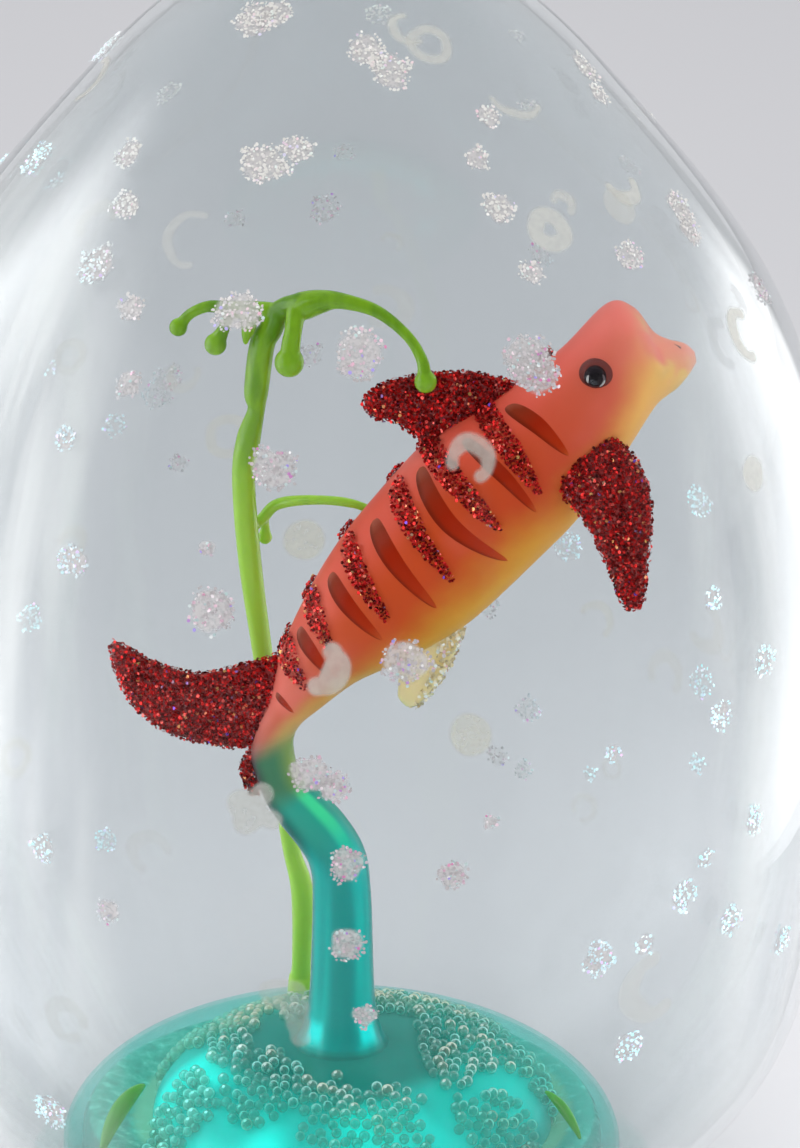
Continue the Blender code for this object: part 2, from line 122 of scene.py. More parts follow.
# How far bars and stripes lie off the skin, and where along it a stripe is widest.
BAR_LIFT = 0.05
STRIPE_WIDEST = 0.28
NOSTRIL = [(14.35, 20), (14.58, 28), (14.62, 38)]
SADDLE = [(6.9, 4), (7.6, 10), (8.5, 4)]

# Fins: one edge, the other edge and half the thickness.
PECTORAL_RIGHT = [
    ((25.4, -3.4, 84.4), (22.9, -3.4, 83.2), 0.6), ((27.2, -5.4, 83.5), (21.3, -5.0, 80.4), 0.8),
    ((28.9, -7.2, 81.6), (21.4, -6.2, 78.6), 0.8), ((29.8, -8.6, 78.4), (23.1, -8.0, 77.1), 0.7),
    ((29.7, -9.4, 75.6), (24.6, -9.2, 74.9), 0.7), ((29.4, -10.0, 72.2), (26.0, -10.0, 72.0), 0.6),
    ((29.2, -10.2, 69.6), (27.0, -10.2, 69.5), 0.6), ((28.7, -10.2, 68.7), (27.7, -10.2, 68.5), 0.4),
]
PECTORAL_LEFT = [
    ((26.4, 3.2, 82.4), (22.2, 3.2, 80.4), 0.6), ((25.6, 5.6, 84.0), (20.8, 5.4, 81.2), 0.8),
    ((24.3, 8.0, 85.2), (19.9, 7.6, 82.4), 0.8), ((22.5, 10.2, 86.4), (19.2, 9.8, 84.0), 0.7),
    ((20.9, 11.8, 87.5), (19.0, 11.5, 86.0), 0.5), ((20.0, 12.4, 88.3), (19.5, 12.3, 87.9), 0.3),
]
DORSAL = [
    ((17.4, 0.0, 87.9), (17.2, 0.0, 87.0), 0.5), ((15.2, 0.0, 88.6), (15.0, 0.0, 84.6), 0.7),
    ((12.5, 0.0, 89.2), (12.3, 0.0, 82.6), 0.8), ((9.1, 0.0, 89.2), (9.0, 0.0, 81.0), 0.8),
    ((6.6, 0.0, 88.9), (6.6, 0.0, 82.9), 0.8), ((4.1, 0.0, 88.2), (4.5, 0.0, 84.3), 0.7),
    ((2.5, 0.0, 87.3), (2.8, 0.0, 84.5), 0.6), ((1.6, 0.0, 86.3), (1.8, 0.0, 85.4), 0.4),
]
ANAL = [
    ((12.4, 0.0, 66.0), (4.6, 0.0, 61.4), 0.8), ((11.7, 0.0, 62.1), (5.2, 0.0, 58.4), 0.9),
    ((10.3, 0.0, 58.3), (5.3, 0.0, 56.5), 0.9), ((8.5, 0.0, 55.6), (5.3, 0.0, 55.1), 0.8),
    ((7.3, 0.0, 54.3), (6.0, 0.0, 54.2), 0.5),
]
TAIL_UPPER = [
    ((-6.4, 0.0, 59.6), (-8.2, 0.0, 49.9), 0.7), ((-10.3, 0.0, 58.3), (-11.0, 0.0, 49.5), 0.8),
    ((-12.9, 0.0, 57.6), (-13.7, 0.0, 49.9), 0.8), ((-15.3, 0.0, 57.3), (-16.1, 0.0, 50.4), 0.8),
    ((-17.5, 0.0, 57.8), (-18.7, 0.0, 51.5), 0.7), ((-20.0, 0.0, 58.8), (-21.4, 0.0, 54.0), 0.7),
    ((-21.9, 0.0, 59.9), (-22.9, 0.0, 57.0), 0.6), ((-23.3, 0.0, 60.6), (-23.6, 0.0, 59.7), 0.4),
]
TAIL_LOWER = [
    ((-9.6, -0.6, 49.2), (-8.9, 0.4, 48.5), 0.4), ((-10.3, -0.4, 47.4), (-9.4, 0.8, 46.6), 0.45),
    ((-10.0, 0.2, 45.6), (-9.1, 1.5, 44.9), 0.45), ((-9.5, 0.8, 44.2), (-8.9, 2.0, 43.8), 0.3),
]

# Rods of the plant as (x, y, z, radius); a last number is the radius of the drop at the end.
STEM = [
    (-4.6, 16.4, 14.0, 1.6), (-4.6, 16.0, 17.1, 1.4), (-4.6, 15.3, 19.2, 1.05), (-4.5, 12.0, 28.7, 1.2),
    (-5.8, 11.0, 34.7, 0.9), (-7.1, 9.5, 45.0, 1.0), (-8.6, 8.3, 56.5, 1.05), (-9.9, 7.0, 67.1, 1.2),
    (-10.5, 6.0, 75.9, 1.2), (-10.0, 5.0, 80.5, 1.25), (-9.2, 4.5, 83.8, 0.9), (-9.2, 4.2, 85.8, 1.25),
    (-8.6, 3.4, 90.9, 1.3), (-7.7, 3.2, 92.6, 1.2), (-7.0, 2.8, 94.4, 1.1),
]
ARCH = [
    (-7.4, 2.9, 94.4, 0.9), (-6.2, 2.3, 95.2, 1.0), (-4.8, 1.6, 95.4, 1.45), (-3.0, 0.8, 96.1, 1.25),
    (-0.9, 0.0, 96.5, 0.85), (2.8, -1.3, 95.8, 0.65), (5.8, -2.2, 93.6, 0.55), (7.2, -2.5, 91.4, 0.6),
    (7.5, -2.6, 90.0, 0.7),
]
LEFT_BRANCH = [
    (-6.8, 3.0, 94.4, 0.95), (-9.8, 3.6, 94.3, 1.05), (-12.0, 3.8, 94.5, 0.75), (-14.0, 4.0, 94.6, 0.6),
    (-15.7, 4.2, 93.8, 0.55), (-16.5, 4.3, 92.9, 0.6),
]
LEFT_DROP = [(-11.8, 3.4, 94.2, 0.55), (-12.3, 2.6, 92.9, 0.6), (-12.8, 2.5, 91.9, 0.8)]
SPUR = [(-9.8, 3.2, 94.0, 0.9), (-9.9, 1.7, 93.1, 0.75), (-10.1, 1.5, 92.3, 0.5), (-10.2, 1.4, 91.6, 0.25)]
CENTRE_DROP = [
    (-5.2, 1.2, 95.2, 1.0), (-5.4, -0.2, 93.6, 0.9), (-5.6, -0.4, 92.4, 0.95), (-5.7, -0.5, 91.4, 1.0),
]
LOWER_BRANCH = [
    (-9.6, 7.4, 70.4, 0.5), (-8.5, 8.0, 71.4, 0.6), (-7.6, 7.6, 72.6, 0.6), (-6.4, 7.0, 73.3, 0.6),
    (-4.6, 6.2, 73.8, 0.55), (-2.4, 5.4, 74.1, 0.5), (-0.4, 4.9, 74.1, 0.5), (1.2, 4.7, 73.8, 0.45),
    (2.8, 4.3, 73.2, 0.45),
]
LOWER_DROP = [(-8.5, 8.2, 71.2, 0.5), (-8.4, 8.7, 70.3, 0.45), (-8.4, 8.8, 69.4, 0.6)]
PLANT_RODS = [
    (STEM, 0.0), (ARCH, 1.15), (LEFT_BRANCH, 0.95), (LEFT_DROP, 1.15), (SPUR, 0.0), (CENTRE_DROP, 1.5),
    (LOWER_BRANCH, 0.0), (LOWER_DROP, 0.75),
]
PLANT_NODES = [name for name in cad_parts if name.startswith("plant_")]

# Blades on the dome: start and end bearing and radius, and half width.
BLADES = [
    ("blade_left", 196.0, 21.0, 208.0, 27.4, 0.9), ("blade_right", 345.5, 21.6, 337.5, 26.4, 0.55),
]

# Beads on the bulge: patches as (x, y), and how far they reach across and in depth.
BEAD_PATCHES = [
    (-9.6, 10.5, 2.0, 3.6), (-11.5, 5.8, 2.2, 4.6), (-11.3, -0.6, 1.8, 2.8), (-8.1, -5.3, 2.6, 2.3),
    (-10.0, -8.1, 2.0, 2.3), (-6.2, -8.3, 1.8, 2.4), (-7.9, -11.8, 2.6, 1.9), (-4.1, -10.7, 1.2, 1.8),
    (-15.6, -4.5, 1.8, 1.4), (-16.3, -6.1, 2.4, 1.4), (-16.4, -8.1, 3.0, 1.2), (-16.4, -9.9, 3.4, 1.2),
    (-0.9, -12.7, 2.8, 2.0), (5.5, -12.4, 2.4, 2.0), (0.1, -15.7, 3.6, 1.6), (5.5, -15.7, 3.4, 1.6),
    (5.6, 13.4, 2.8, 2.6), (10.1, 9.3, 2.6, 4.8), (11.1, 2.6, 3.0, 4.4), (14.7, 5.8, 2.2, 4.6),
    (10.6, -4.0, 2.4, 2.9), (13.7, -2.2, 1.4, 2.1), (17.0, 2.1, 1.6, 3.4), (19.1, 1.6, 1.5, 2.9),
    (20.3, -0.6, 1.2, 2.3), (11.2, -7.2, 1.4, 1.4), (13.5, -11.1, 2.0, 1.4), (17.3, -8.4, 2.4, 1.5),
    (16.0, -11.5, 3.0, 1.2), (13.1, -13.4, 1.6, 1.0),
]
LONE_BEADS = [(-0.4, -8.8), (3.6, -10.5)]
BEAD_RADIUS = 0.61
BEAD_SPACING = 0.98
# Beads are tried at this spacing over the dome, moved at random by up to half of it.
BEAD_STEP = 0.3
BEAD_STEPS = 76
BEADS_REACH = 23.5
# How far past a patch's reach beads still lie, as a share of it.
PATCH_EDGE = 1.18
REAR_BEAD_PATCHES = 16

# Painted marks on the envelope: bearing, height, radius of the line, half its width, first
# bearing of the line, how far it runs and how strongly it covers.
MARKS = [
    (285.2, 93.7, 1.68, 0.98, -60, 245, 0.60), (267.3, 76.3, 2.1, 1.40, -82, 118, 0.70),
    (294.0, 126.1, 1.75, 0.60, 0, 360, 0.52), (289.4, 127.4, 1.6, 0.6, 100, 190, 0.52),
    (312, 121.9, 2.8, 0.60, 190, 120, 0.54), (305, 111.1, 1.5, 0.95, 0, 360, 0.56),
    (309.8, 112.8, 1.0, 0.7, -60, 200, 0.46), (326, 113.4, 2.0, 0.9, 190, 150, 0.64),
    (322, 111.6, 0.9, 1.1, 0, 360, 0.38), (335, 98.7, 2.2, 0.90, 60, 200, 0.78),
    (326, 87.5, 0.8, 1.0, 0, 360, 0.62), (245, 110.7, 2.6, 0.6, 80, 200, 0.30),
    (190, 119.4, 2.4, 0.7, -60, 180, 0.45), (239, 38.0, 1.8, 0.9, 0, 300, 0.22),
    (307, 41.2, 3.0, 1.3, 100, 200, 0.30), (250, 57.0, 1.8, 0.8, 20, 220, 0.18),
    (232, 100.0, 1.4, 0.5, 0, 360, 0.22), (96, 54.8, 0.9, 1.5, 0, 360, 0.50),
    (74, 33.3, 1.0, 1.5, 0, 360, 0.46), (113, 39.0, 1.6, 0.9, 30, 200, 0.25),
    (60, 68.0, 1.7, 0.8, 0, 270, 0.25),
]
# Blots of the same paint: bearing, height, cover and round spots as (east, north, radius).
BLOTS = [
    (261.0, 62.8, 0.56, [
        (-0.9, 0.1, 1.5), (0.2, -0.6, 1.5), (1.0, 1.3, 1.1), (1.9, -1.2, 1.0), (-0.6, -1.7, 1.2),
    ]),
    (264.3, 42.9, 0.36, [
        (-1.2, 1.5, 1.1), (-0.2, 1.3, 1.6), (1.0, 1.5, 1.3), (1.1, 0.0, 1.4), (1.4, -1.7, 1.2),
        (1.6, -3.2, 1.0),
    ]),
]
# Glitter dabs on the envelope: bearing, height and radius.
DABS = [
    (238, 127.6, 2.1), (244, 128.2, 1.7), (275, 125.9, 1.8), (281, 124.3, 2.0), (254, 116.9, 2.2),
    (260, 118.2, 1.5), (178, 121.4, 1.8), (198, 112.9, 2.0), (255, 105.5, 2.2), (272, 102.6, 2.4),
    (295, 101.3, 2.6), (295.3, 100.4, 2.3), (262, 93.2, 2.1), (256, 80.5, 2.2), (277, 76.5, 2.2),
    (267, 66.1, 1.9), (269.5, 65.0, 1.5), (271, 57.5, 1.7), (271, 49.6, 1.7), (273, 42.2, 1.2),
    (302, 120.3, 1.2), (296, 117.2, 1.2), (297, 113.3, 1.6), (299, 108.1, 1.2), (318, 107.8, 1.6),
    (344, 121.6, 1.7), (340, 119.6, 1.3), (338, 109.6, 2.0), (336, 107.8, 1.6), (348, 100.6, 1.5),
    (242, 98.8, 1.3), (239, 104.7, 1.3), (235, 93.4, 1.1), (239, 83.1, 1.5), (237, 55.5, 1.3),
    (245, 50.6, 1.2), (315, 77.9, 1.1), (323, 70.3, 1.5), (315, 66.8, 1.4), (321, 54.8, 1.3),
    (299, 45.6, 1.7), (310, 49.9, 1.5), (318, 45.4, 1.5), (305, 45.9, 1.1), (304, 35.4, 1.6),
    (330, 39.6, 1.4), (235, 27.1, 1.9), (282, 56.1, 1.4), (224, 116.0, 1.5), (230, 112.3, 1.5),
    (230, 107.4, 2.0), (255, 86.0, 0.8), (300, 66.0, 0.8), (313, 53.0, 0.9), (286, 61.0, 0.7),
]
# The side away from the fish's right, dabbed and painted at random.
REAR_DABS = 46
REAR_MARKS = 26
REAR_FIRST, REAR_LAST = 5.0, 172.0
RANDOM_SEED = 11
# Width of the quads that marks and dabs are cut from, how far they lie off the glass, and points
# along a mark's line.
PATCH_STEP = 0.17
MARK_LIFT = 0.06
DAB_LIFT = 0.07
MARK_STEPS = 61

# Cap, between its lower edge and its top, as (radius, height).
CAP_OUTLINE = [
    (10.2, 136.4), (9.8, 138.0), (9.75, 141.0), (9.7, 144.2), (9.2, 145.1), (6.0, 145.45),
]
CAP_WALL = 0.45
CAP_TURNS = 160
# The skirt's crimps: how many, how deep as a share of the radius, and the heights they start and
# are deepest at.
CRIMPS = 20
CRIMP_DEPTH = 0.035
CRIMP_TOP = 138.5
CRIMP_FULL = 135.0

# Lights: place, aim and size in mm, radiance, softness of the edge, whether the glass mirrors them
# and whether they light what is dull.
LIGHTS = [
    ("top_box", (-150, 150, 1500), (-50, 150, 0), (2600, 2600), 1.35, 0.2, False, True),
    ("front_box", (100, -1000, 520), (0, 0, 70), (1100, 800), 3.5, 0.2, False, True),
    ("left_pool", (-160, -60, 130), (-160, -60, 0), (190, 240), 3.9, 0.3, False, True),
    ("right_pool", (190, -40, 130), (190, -40, 0), (190, 260), 3.7, 0.3, False, True),
    ("left_card", (-130, -28, 108), (0, -28, 108), (214, 236), 3.0, 0.22, True, False),
    ("right_card", (135, 84, 66), (0, 84, 66), (180, 170), 1.6, 0.24, True, False),
]
CAMERA_LENS = 156.8
CAMERA_AIM = (5.35, 0.0, 68.2)
CAMERA_DISTANCE = 500
# Degrees that the camera looks down, and that it is rolled.
CAMERA_DOWN = 19.0
CAMERA_ROLL = 0.7

# Colours along the fish's skin, as (row, colour), and how many rows a ramp spans, half of them
# before the fish's first one.
RAMP_ROWS = 32
BACK_COLOURS = [
    (0.2, (0.54, 0.15, 0.12)), (1.4, (0.80, 0.20, 0.155)), (2.4, (0.77, 0.145, 0.10)),
    (4.0, (0.76, 0.105, 0.060)), (8.0, (0.74, 0.085, 0.045)), (11.0, (0.94, 0.17, 0.13)),
]
FLANK_COLOURS = [
    (0.2, (0.52, 0.15, 0.10)), (2.0, (0.66, 0.12, 0.06)), (5.0, (0.64, 0.075, 0.012)),
    (8.0, (0.62, 0.065, 0.014)), (10.5, (0.72, 0.12, 0.065)), (13.0, (0.92, 0.30, 0.13)),
]
BELLY_COLOURS = [
    (0.0, (0.40, 0.36, 0.12)), (1.6, (0.74, 0.36, 0.10)), (5.0, (0.72, 0.35, 0.030)),
    (8.0, (0.84, 0.38, 0.040)), (11.0, (0.98, 0.49, 0.12)), (13.0, (0.90, 0.50, 0.12)),
]
# Colours of the dome outwards, of its shoulder and the fins by their grain, of a clear bar
# downwards, and of beads and flakes by their number.
# The first two stops, dark round the tube's foot, are painted shade.
BULGE_COLOURS = [
    (0.0, (0.001, 0.16, 0.14)), (0.33, (0.001, 0.19, 0.17)), (0.44, (0.001, 0.46, 0.43)),
    (0.60, (0.001, 0.56, 0.53)), (0.74, (0.002, 0.30, 0.29)),
]
SHOULDER_COLOURS = [(0.34, (0.03, 0.30, 0.25)), (0.50, (0.08, 0.44, 0.36)), (0.66, (0.30, 0.62, 0.52))]
FIN_COLOURS = [(0.25, (0.10, 0.004, 0.004)), (0.55, (0.30, 0.02, 0.02)), (0.8, (0.50, 0.07, 0.06))]
# A bar's first stop, paler and greyer at its back end, is a painted reflection.
BAR_COLOURS = [
    (0.0, (0.38, 0.09, 0.05)), (0.18, (0.26, 0.030, 0.010)), (0.45, (0.36, 0.018, 0.003)),
    (0.8, (0.46, 0.030, 0.004)), (1.0, (0.60, 0.09, 0.02)),
]
BEAD_COLOURS = [
    (0.0, (0.22, 0.68, 0.60)), (0.35, (0.38, 0.86, 0.78)), (0.60, (0.18, 0.84, 0.77)),
    (0.80, (0.62, 0.94, 0.87)), (0.95, (0.84, 0.86, 0.72)), (0.9965, (0.80, 0.84, 0.68)),
    (0.9985, (0.85, 0.06, 0.04)),
]
RED_FLAKES = [
    (0.0, (0.08, 0.001, 0.001)), (0.36, (0.34, 0.002, 0.002)), (0.64, (0.66, 0.006, 0.006)),
    (0.87, (0.95, 0.035, 0.030)), (0.955, (1.0, 0.18, 0.15)), (0.989, (0.95, 0.50, 0.16)),
    (0.996, (0.25, 0.10, 0.75)),
]
PEARL_FLAKES = [
    (0.0, (0.40, 0.385, 0.39)), (0.40, (0.45, 0.43, 0.435)), (0.70, (0.56, 0.53, 0.545)),
    (0.80, (0.58, 0.38, 0.47)), (0.87, (0.40, 0.56, 0.55)), (0.92, (0.84, 0.84, 0.84)),
    (0.965, (0.62, 0.18, 0.36)), (0.990, (0.36, 0.30, 0.70)),
]
COOL_FLAKES = [
    (0.0, (0.46, 0.62, 0.68)), (0.30, (0.52, 0.72, 0.78)), (0.60, (0.62, 0.82, 0.90)),
    (0.76, (0.40, 0.84, 0.86)), (0.88, (0.95, 1.00, 1.00)), (0.95, (0.55, 0.60, 0.98)),
    (0.985, (0.85, 0.60, 0.80)),
]
WARM_FLAKES = [
    (0.0, (0.52, 0.42, 0.24)), (0.35, (0.78, 0.66, 0.42)), (0.65, (0.95, 0.86, 0.66)),
    (0.82, (1.0, 1.0, 0.95)), (0.93, (0.70, 0.86, 0.86)), (0.975, (0.85, 0.55, 0.60)),
]


# ---------------------------------------------------------------- surfaces


def unit(vectors):
    """The vectors at length one."""
    return vectors / np.linalg.norm(vectors, axis=-1, keepdims=True)


def full_turn(count):
    """Angles in radians, evenly round a circle."""
    return np.linspace(0, 2 * math.pi, count, endpoint=False)


def about_axis(radius, turn, height):
    """Points at a distance from the axis, a turn about it and a height."""
    return np.stack(np.broadcast_arrays(radius * np.cos(turn), radius * np.sin(turn), height), axis=-1)


def rows_at(rows, places):
    """Rows of numbers at places along the Catmull-Rom curve through the rows."""
    rows = np.asarray(rows, float)
    places = np.asarray(places, float)
    first = np.clip(np.floor(places).astype(int), 0, len(rows) - 2)
    t = (places - first)[..., None]
    padded = np.vstack([rows[:1], rows, rows[-1:]])
    a, b, c, d = (padded[first + k] for k in range(4))
    return 0.5 * (2 * b + (c - a) * t + (2 * a - 5 * b + 4 * c - d) * t**2 + (3 * b - a - 3 * c + d) * t**3)


def smoothed(rows, steps):
    """Rows on the Catmull-Rom curve, steps to each given row."""
    return rows_at(rows, np.linspace(0, len(rows) - 1, (len(rows) - 1) * steps + 1))


def outline_sides(outline):
    """The outward directions along an outline of (radius, height)."""
    slope = np.gradient(outline, axis=0)
    return unit(np.stack([slope[:, 1], -slope[:, 0]], axis=1))


def tube_rows():
    """The tube's rod as back, belly and half thickness, like the fish's rows."""
    rods = np.array(TUBE)
    along = unit(np.gradient(rods[:, :2], axis=0))
    side = np.stack([-along[:, 1], along[:, 0]], axis=1) * rods[:, 2:3]
    return np.hstack([rods[:, :2] + side, rods[:, :2] - side, rods[:, 2:3]])


SKIN_ROWS = np.vstack([tube_rows(), BEND, BODY])
FIRST_BODY_ROW = len(TUBE) + len(BEND)
OUTLINE = smoothed(ENVELOPE_OUTLINE, 10)
OUTLINE_RUN = np.concatenate([[0], np.cumsum(np.linalg.norm(np.diff(OUTLINE, axis=0), axis=1))])
OUTLINE_SIDES = outline_sides(OUTLINE)


def skin_point(place, angle):
    """A point of the tube and fish's skin, at a row number and an angle in radians from the back
    towards the fish's right."""
    row = rows_at(SKIN_ROWS, place)
    back, belly = row[..., 0:2], row[..., 2:4]
    level = (back + belly) / 2 + (back - belly) / 2 * np.cos(angle)[..., None]
    return np.stack([level[..., 0], -row[..., 4] * np.sin(angle), level[..., 1]], axis=-1)


def skin_normal(place, angle):
    """The outward direction of the skin."""
    step = 0.01
    along = skin_point(place + step, angle) - skin_point(place - step, angle)
    round_it = skin_point(place, angle + step) - skin_point(place, angle - step)
    return unit(np.cross(round_it, along))


def envelope_point(bearing, height, east, north, lift):
    """A point on the envelope, east and north of a bearing in degrees and a height, in mm."""
    run = np.interp(height, OUTLINE[:, 1], OUTLINE_RUN) + north
    radius, level = (np.interp(run, OUTLINE_RUN, column) for column in OUTLINE.T)
    out, up = (np.interp(run, OUTLINE_RUN, column) for column in OUTLINE_SIDES.T)
    turn = math.radians(bearing) + east / np.maximum(radius, 1.0)
    return about_axis(radius + out * lift, turn, level + up * lift)


def shell_height(radius):
    """Height of the dome's outer shell at a distance from its axis."""
    return SHELL_WIDEST + SHELL_RISE * math.sqrt(max(1 - (radius / SHELL_RADIUS) ** 2, 0.0))


def bulge_height(from_axis):
    """Height of the bulge at a distance from its own axis."""
    quarter = math.acos(min(from_axis / BULGE_RADIUS, 1.0) ** (1 / BULGE_FLATNESS))
    return BULGE_WIDEST + BULGE_RISE * math.sin(quarter)


# ---------------------------------------------------------------- meshes


def add_object(name, data):
    """A new object in the scene."""
    thing = bpy.data.objects.new(name, data)
    bpy.context.scene.collection.objects.link(thing)
    return thing


def add_piece(mesh, finish, slot, *replaces):
    """A piece, named as its mesh, that rides on the ornament; it stands for the CAD nodes given.
    Without a finish it keeps its own."""
    thing = add_object(mesh.name, mesh)
    if finish:
        mesh.materials.clear()
        mesh.materials.append(finish)
    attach(thing, "root")
    if replaces:
        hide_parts(*replaces)


def new_mesh(name, points, faces, floats):
    """A mesh from points in mm, with named numbers on them."""
    mesh = bpy.data.meshes.new(name)
    mesh.from_pydata((points.reshape(-1, 3) * MM).tolist(), [], faces)
    for label, values in floats.items():
        attribute = mesh.attributes.new(label, "FLOAT", "POINT")
        attribute.data.foreach_set("value", values.astype(np.float32).ravel())
    return mesh


def grid_quads(index, closed):
    """Quads between the neighbours in a grid of point numbers; closed joins its last column to its
    first."""
    following = np.roll(index, -1, axis=1) if closed else index[:, 1:]
    this = index if closed else index[:, :-1]
    return np.stack([this[:-1], following[:-1], following[1:], this[1:]], axis=-1).reshape(-1, 4)


def grid_mesh(name, points, floats=None, closed=False, caps=False, merge=0.0):
    """A mesh from a grid of points. A closed one has its doubles merged and faces outwards."""
    rows, columns = points.shape[:2]
    index = np.arange(rows * columns).reshape(rows, columns)
    faces = grid_quads(index, closed).tolist()
    if caps:
        faces += [index[0, ::-1].tolist(), index[-1].tolist()]
    spread = {label: np.broadcast_to(values, (rows, columns)) for label, values in (floats or {}).items()}
    mesh = new_mesh(name, points, faces, spread)
    if closed:
        bm = bmesh.new()
        bm.from_mesh(mesh)
        if merge:
            bmesh.ops.remove_doubles(bm, verts=bm.verts, dist=merge)
        bmesh.ops.recalc_face_normals(bm, faces=bm.faces)
        bm.to_mesh(mesh)
        bm.free()
    mesh.shade_smooth()
    return mesh


def turned_mesh(name, radius, height, turns=TURNS):
    """A closed outline turned about the axis; its radius may change as it goes round."""
    points = about_axis(radius[:, None] if radius.ndim == 1 else radius, full_turn(turns), height[:, None])
    return grid_mesh(name, np.concatenate([points, points[:1]]), closed=True, merge=1e-6)


def walled(outline, wall):
    """An open outline that ends on the axis, with a second one inside it, as one closed outline."""
    outline = np.asarray(outline, float)
    inner = outline - outline_sides(outline) * wall
    inner[outline[:, 0] == 0, 0] = 0.0
    return np.vstack([outline, inner[::-1]])


def fin_mesh(name, rows, sides=28, steps=8):
    """A fin with an elliptical section, rounded at both ends."""
    flat = smoothed([(*edge, *other, half) for edge, other, half in rows], steps)
    edge, other = flat[:, 0:3], flat[:, 3:6]
    middle, across = (edge + other) / 2, (edge - other) / 2
    thick = unit(np.cross(across, np.gradient(middle, axis=0))) * flat[:, 6:7]
    turn = full_turn(sides)[None, :, None]
    points = middle[:, None] + across[:, None] * np.cos(turn) + thick[:, None] * np.sin(turn)
    return grid_mesh(name, points, closed=True, caps=True)


def body_patch(name, path, half_width, side, lift, widest=0.33):
    """A drop-shaped patch that lies on the fish along a path of (row, degrees), rounded at its first
    end and pointed at its last."""
    run = np.linspace(0, 1, 41)
    centre = rows_at(path, run * (len(path) - 1))
    bend = math.log(0.5) / math.log(widest)
    width = np.maximum(half_width * np.clip(np.sin(math.pi * run**bend), 0, 1) ** 0.72, 0.015)
    across = np.linspace(-1, 1, 11)
    row = centre[:, None, 0] + FIRST_BODY_ROW
    angle = side * np.radians(centre[:, None, 1]) + 0 * across
    spacing = np.linalg.norm(skin_point(row + 0.1, angle) - skin_point(row - 0.1, angle), axis=-1) / 0.2
    place = row + width[:, None] * across / spacing
    height = lift * (1 - 0.6 * across**2)
    points = skin_point(place, angle) + skin_normal(place, angle) * height[:, None]
    if side > 0:
        points = points[:, ::-1]
    return grid_mesh(name, points, {"bar_run": run[:, None], "bar_across": across[None, :]})


def envelope_patch(name, bearing, height, reach, cover_at, lift):
    """A patch of the envelope's surface, kept where its cover is more than nothing."""
    line = np.linspace(-reach, reach, max(10, int(2 * reach / PATCH_STEP)) + 1)
    north, east = np.meshgrid(line, line, indexing="ij")
    cover = cover_at(east, north)
    points = envelope_point(bearing, height, east, north, lift).reshape(-1, 3)
    quads = grid_quads(np.arange(line.size**2).reshape(line.size, line.size), False)
    quads = quads[(cover.ravel()[quads] > 0).any(axis=1)]
    used, quads = np.unique(quads, return_inverse=True)
    floats = {"mark_cover": cover.ravel()[used]}
    mesh = new_mesh(name, points[used], quads.reshape(-1, 4).tolist(), floats)
    mesh.shade_smooth()
    return mesh


def softly(value, low, high):
    """Smooth step from 0 to 1."""
    share = np.clip((value - low) / (high - low), 0, 1)
    return share * share * (3 - 2 * share)


def mark_mesh(bearing, height, radius, half_width, first, span, cover):
    """A painted line on the envelope: a ring, or a crescent that thins towards its ends."""
    turn = np.radians(np.linspace(first, first + span, MARK_STEPS))
    wobble = 1 + 0.035 * np.sin(turn * 3 + bearing) + 0.02 * np.sin(turn * 5 + height)
    path = np.stack([radius * wobble * np.cos(turn), radius * wobble * np.sin(turn)], axis=-1)
    width = np.full(MARK_STEPS, float(half_width))
    if span < 360:
        width *= np.clip(np.sin(math.pi * np.linspace(0, 1, MARK_STEPS)) ** 0.5, 0.68, 1)

    def cover_at(east, north):
        away = np.hypot(east[..., None] - path[:, 0], north[..., None] - path[:, 1]) - width
        return cover * softly(away.min(axis=-1), 0.12, -0.32)

    return envelope_patch("mark", bearing, height, radius * 1.06 + half_width + 0.2, cover_at, MARK_LIFT)


def blot_mesh(bearing, height, cover, spots):
    """A painted blot made of spots that run together."""

    def cover_at(east, north):
        away = np.stack([np.hypot(east - x, north - y) - radius for x, y, radius in spots], axis=-1)
        joined_up = -0.25 * np.log(np.exp(-away / 0.25).sum(axis=-1))
        return cover * softly(joined_up, 0.12, -0.30)

    reach = max(max(abs(x), abs(y)) + radius for x, y, radius in spots) + 0.5
    return envelope_patch("blot", bearing, height, reach, cover_at, MARK_LIFT)


def dab_mesh(bearing, height, radius, chance):
    """An uneven round patch of clear glue that glitter is scattered on."""
    lobes = [chance.uniform(0.02, 0.07) for _ in range(4)]
    phases = [chance.uniform(0, 2 * math.pi) for _ in range(4)]
    stretch = chance.uniform(0.92, 1.10)

    def cover_at(east, north):
        turn = np.arctan2(north, east)
        waves = (lobe * np.sin((k + 2) * turn + phase) for k, (lobe, phase) in enumerate(zip(lobes, phases)))
        return softly(np.hypot(east / stretch, north * stretch) / (radius * (1 + sum(waves))), 1.0, 0.72)

    return envelope_patch("dab", bearing, height, radius * 1.3, cover_at, DAB_LIFT)


def joined(name, meshes):
    """One mesh from several, with their named numbers kept."""
    bm = bmesh.new()
    for mesh in meshes:
        bm.from_mesh(mesh)
        bpy.data.meshes.remove(mesh)
    out = bpy.data.meshes.new(name)
    bm.to_mesh(out)
    bm.free()
    return out


def with_drop(rows, radius, rings=8):
    """Rod rows that end in a round drop, or in a blunt tip where the drop's radius is nothing."""
    rows = np.asarray(rows, float)
    along = unit(rows[-1, :3] - rows[-2, :3])
    neck = rows[-1, 3]
    if not radius:
        return np.vstack([rows, [*(rows[-1, :3] + along * neck * 0.8), neck * 0.3]])
    reach = math.sqrt(max(radius**2 - neck**2, 0.0))
    angles = math.atan2(neck, -reach) * (1 - np.arange(1, rings + 1) / (rings + 0.3))
    places = rows[-1, :3] + along * (reach + radius * np.cos(angles))[:, None]
    return np.vstack([rows, np.hstack([places, np.maximum(radius * np.sin(angles), 0.08)[:, None]])])


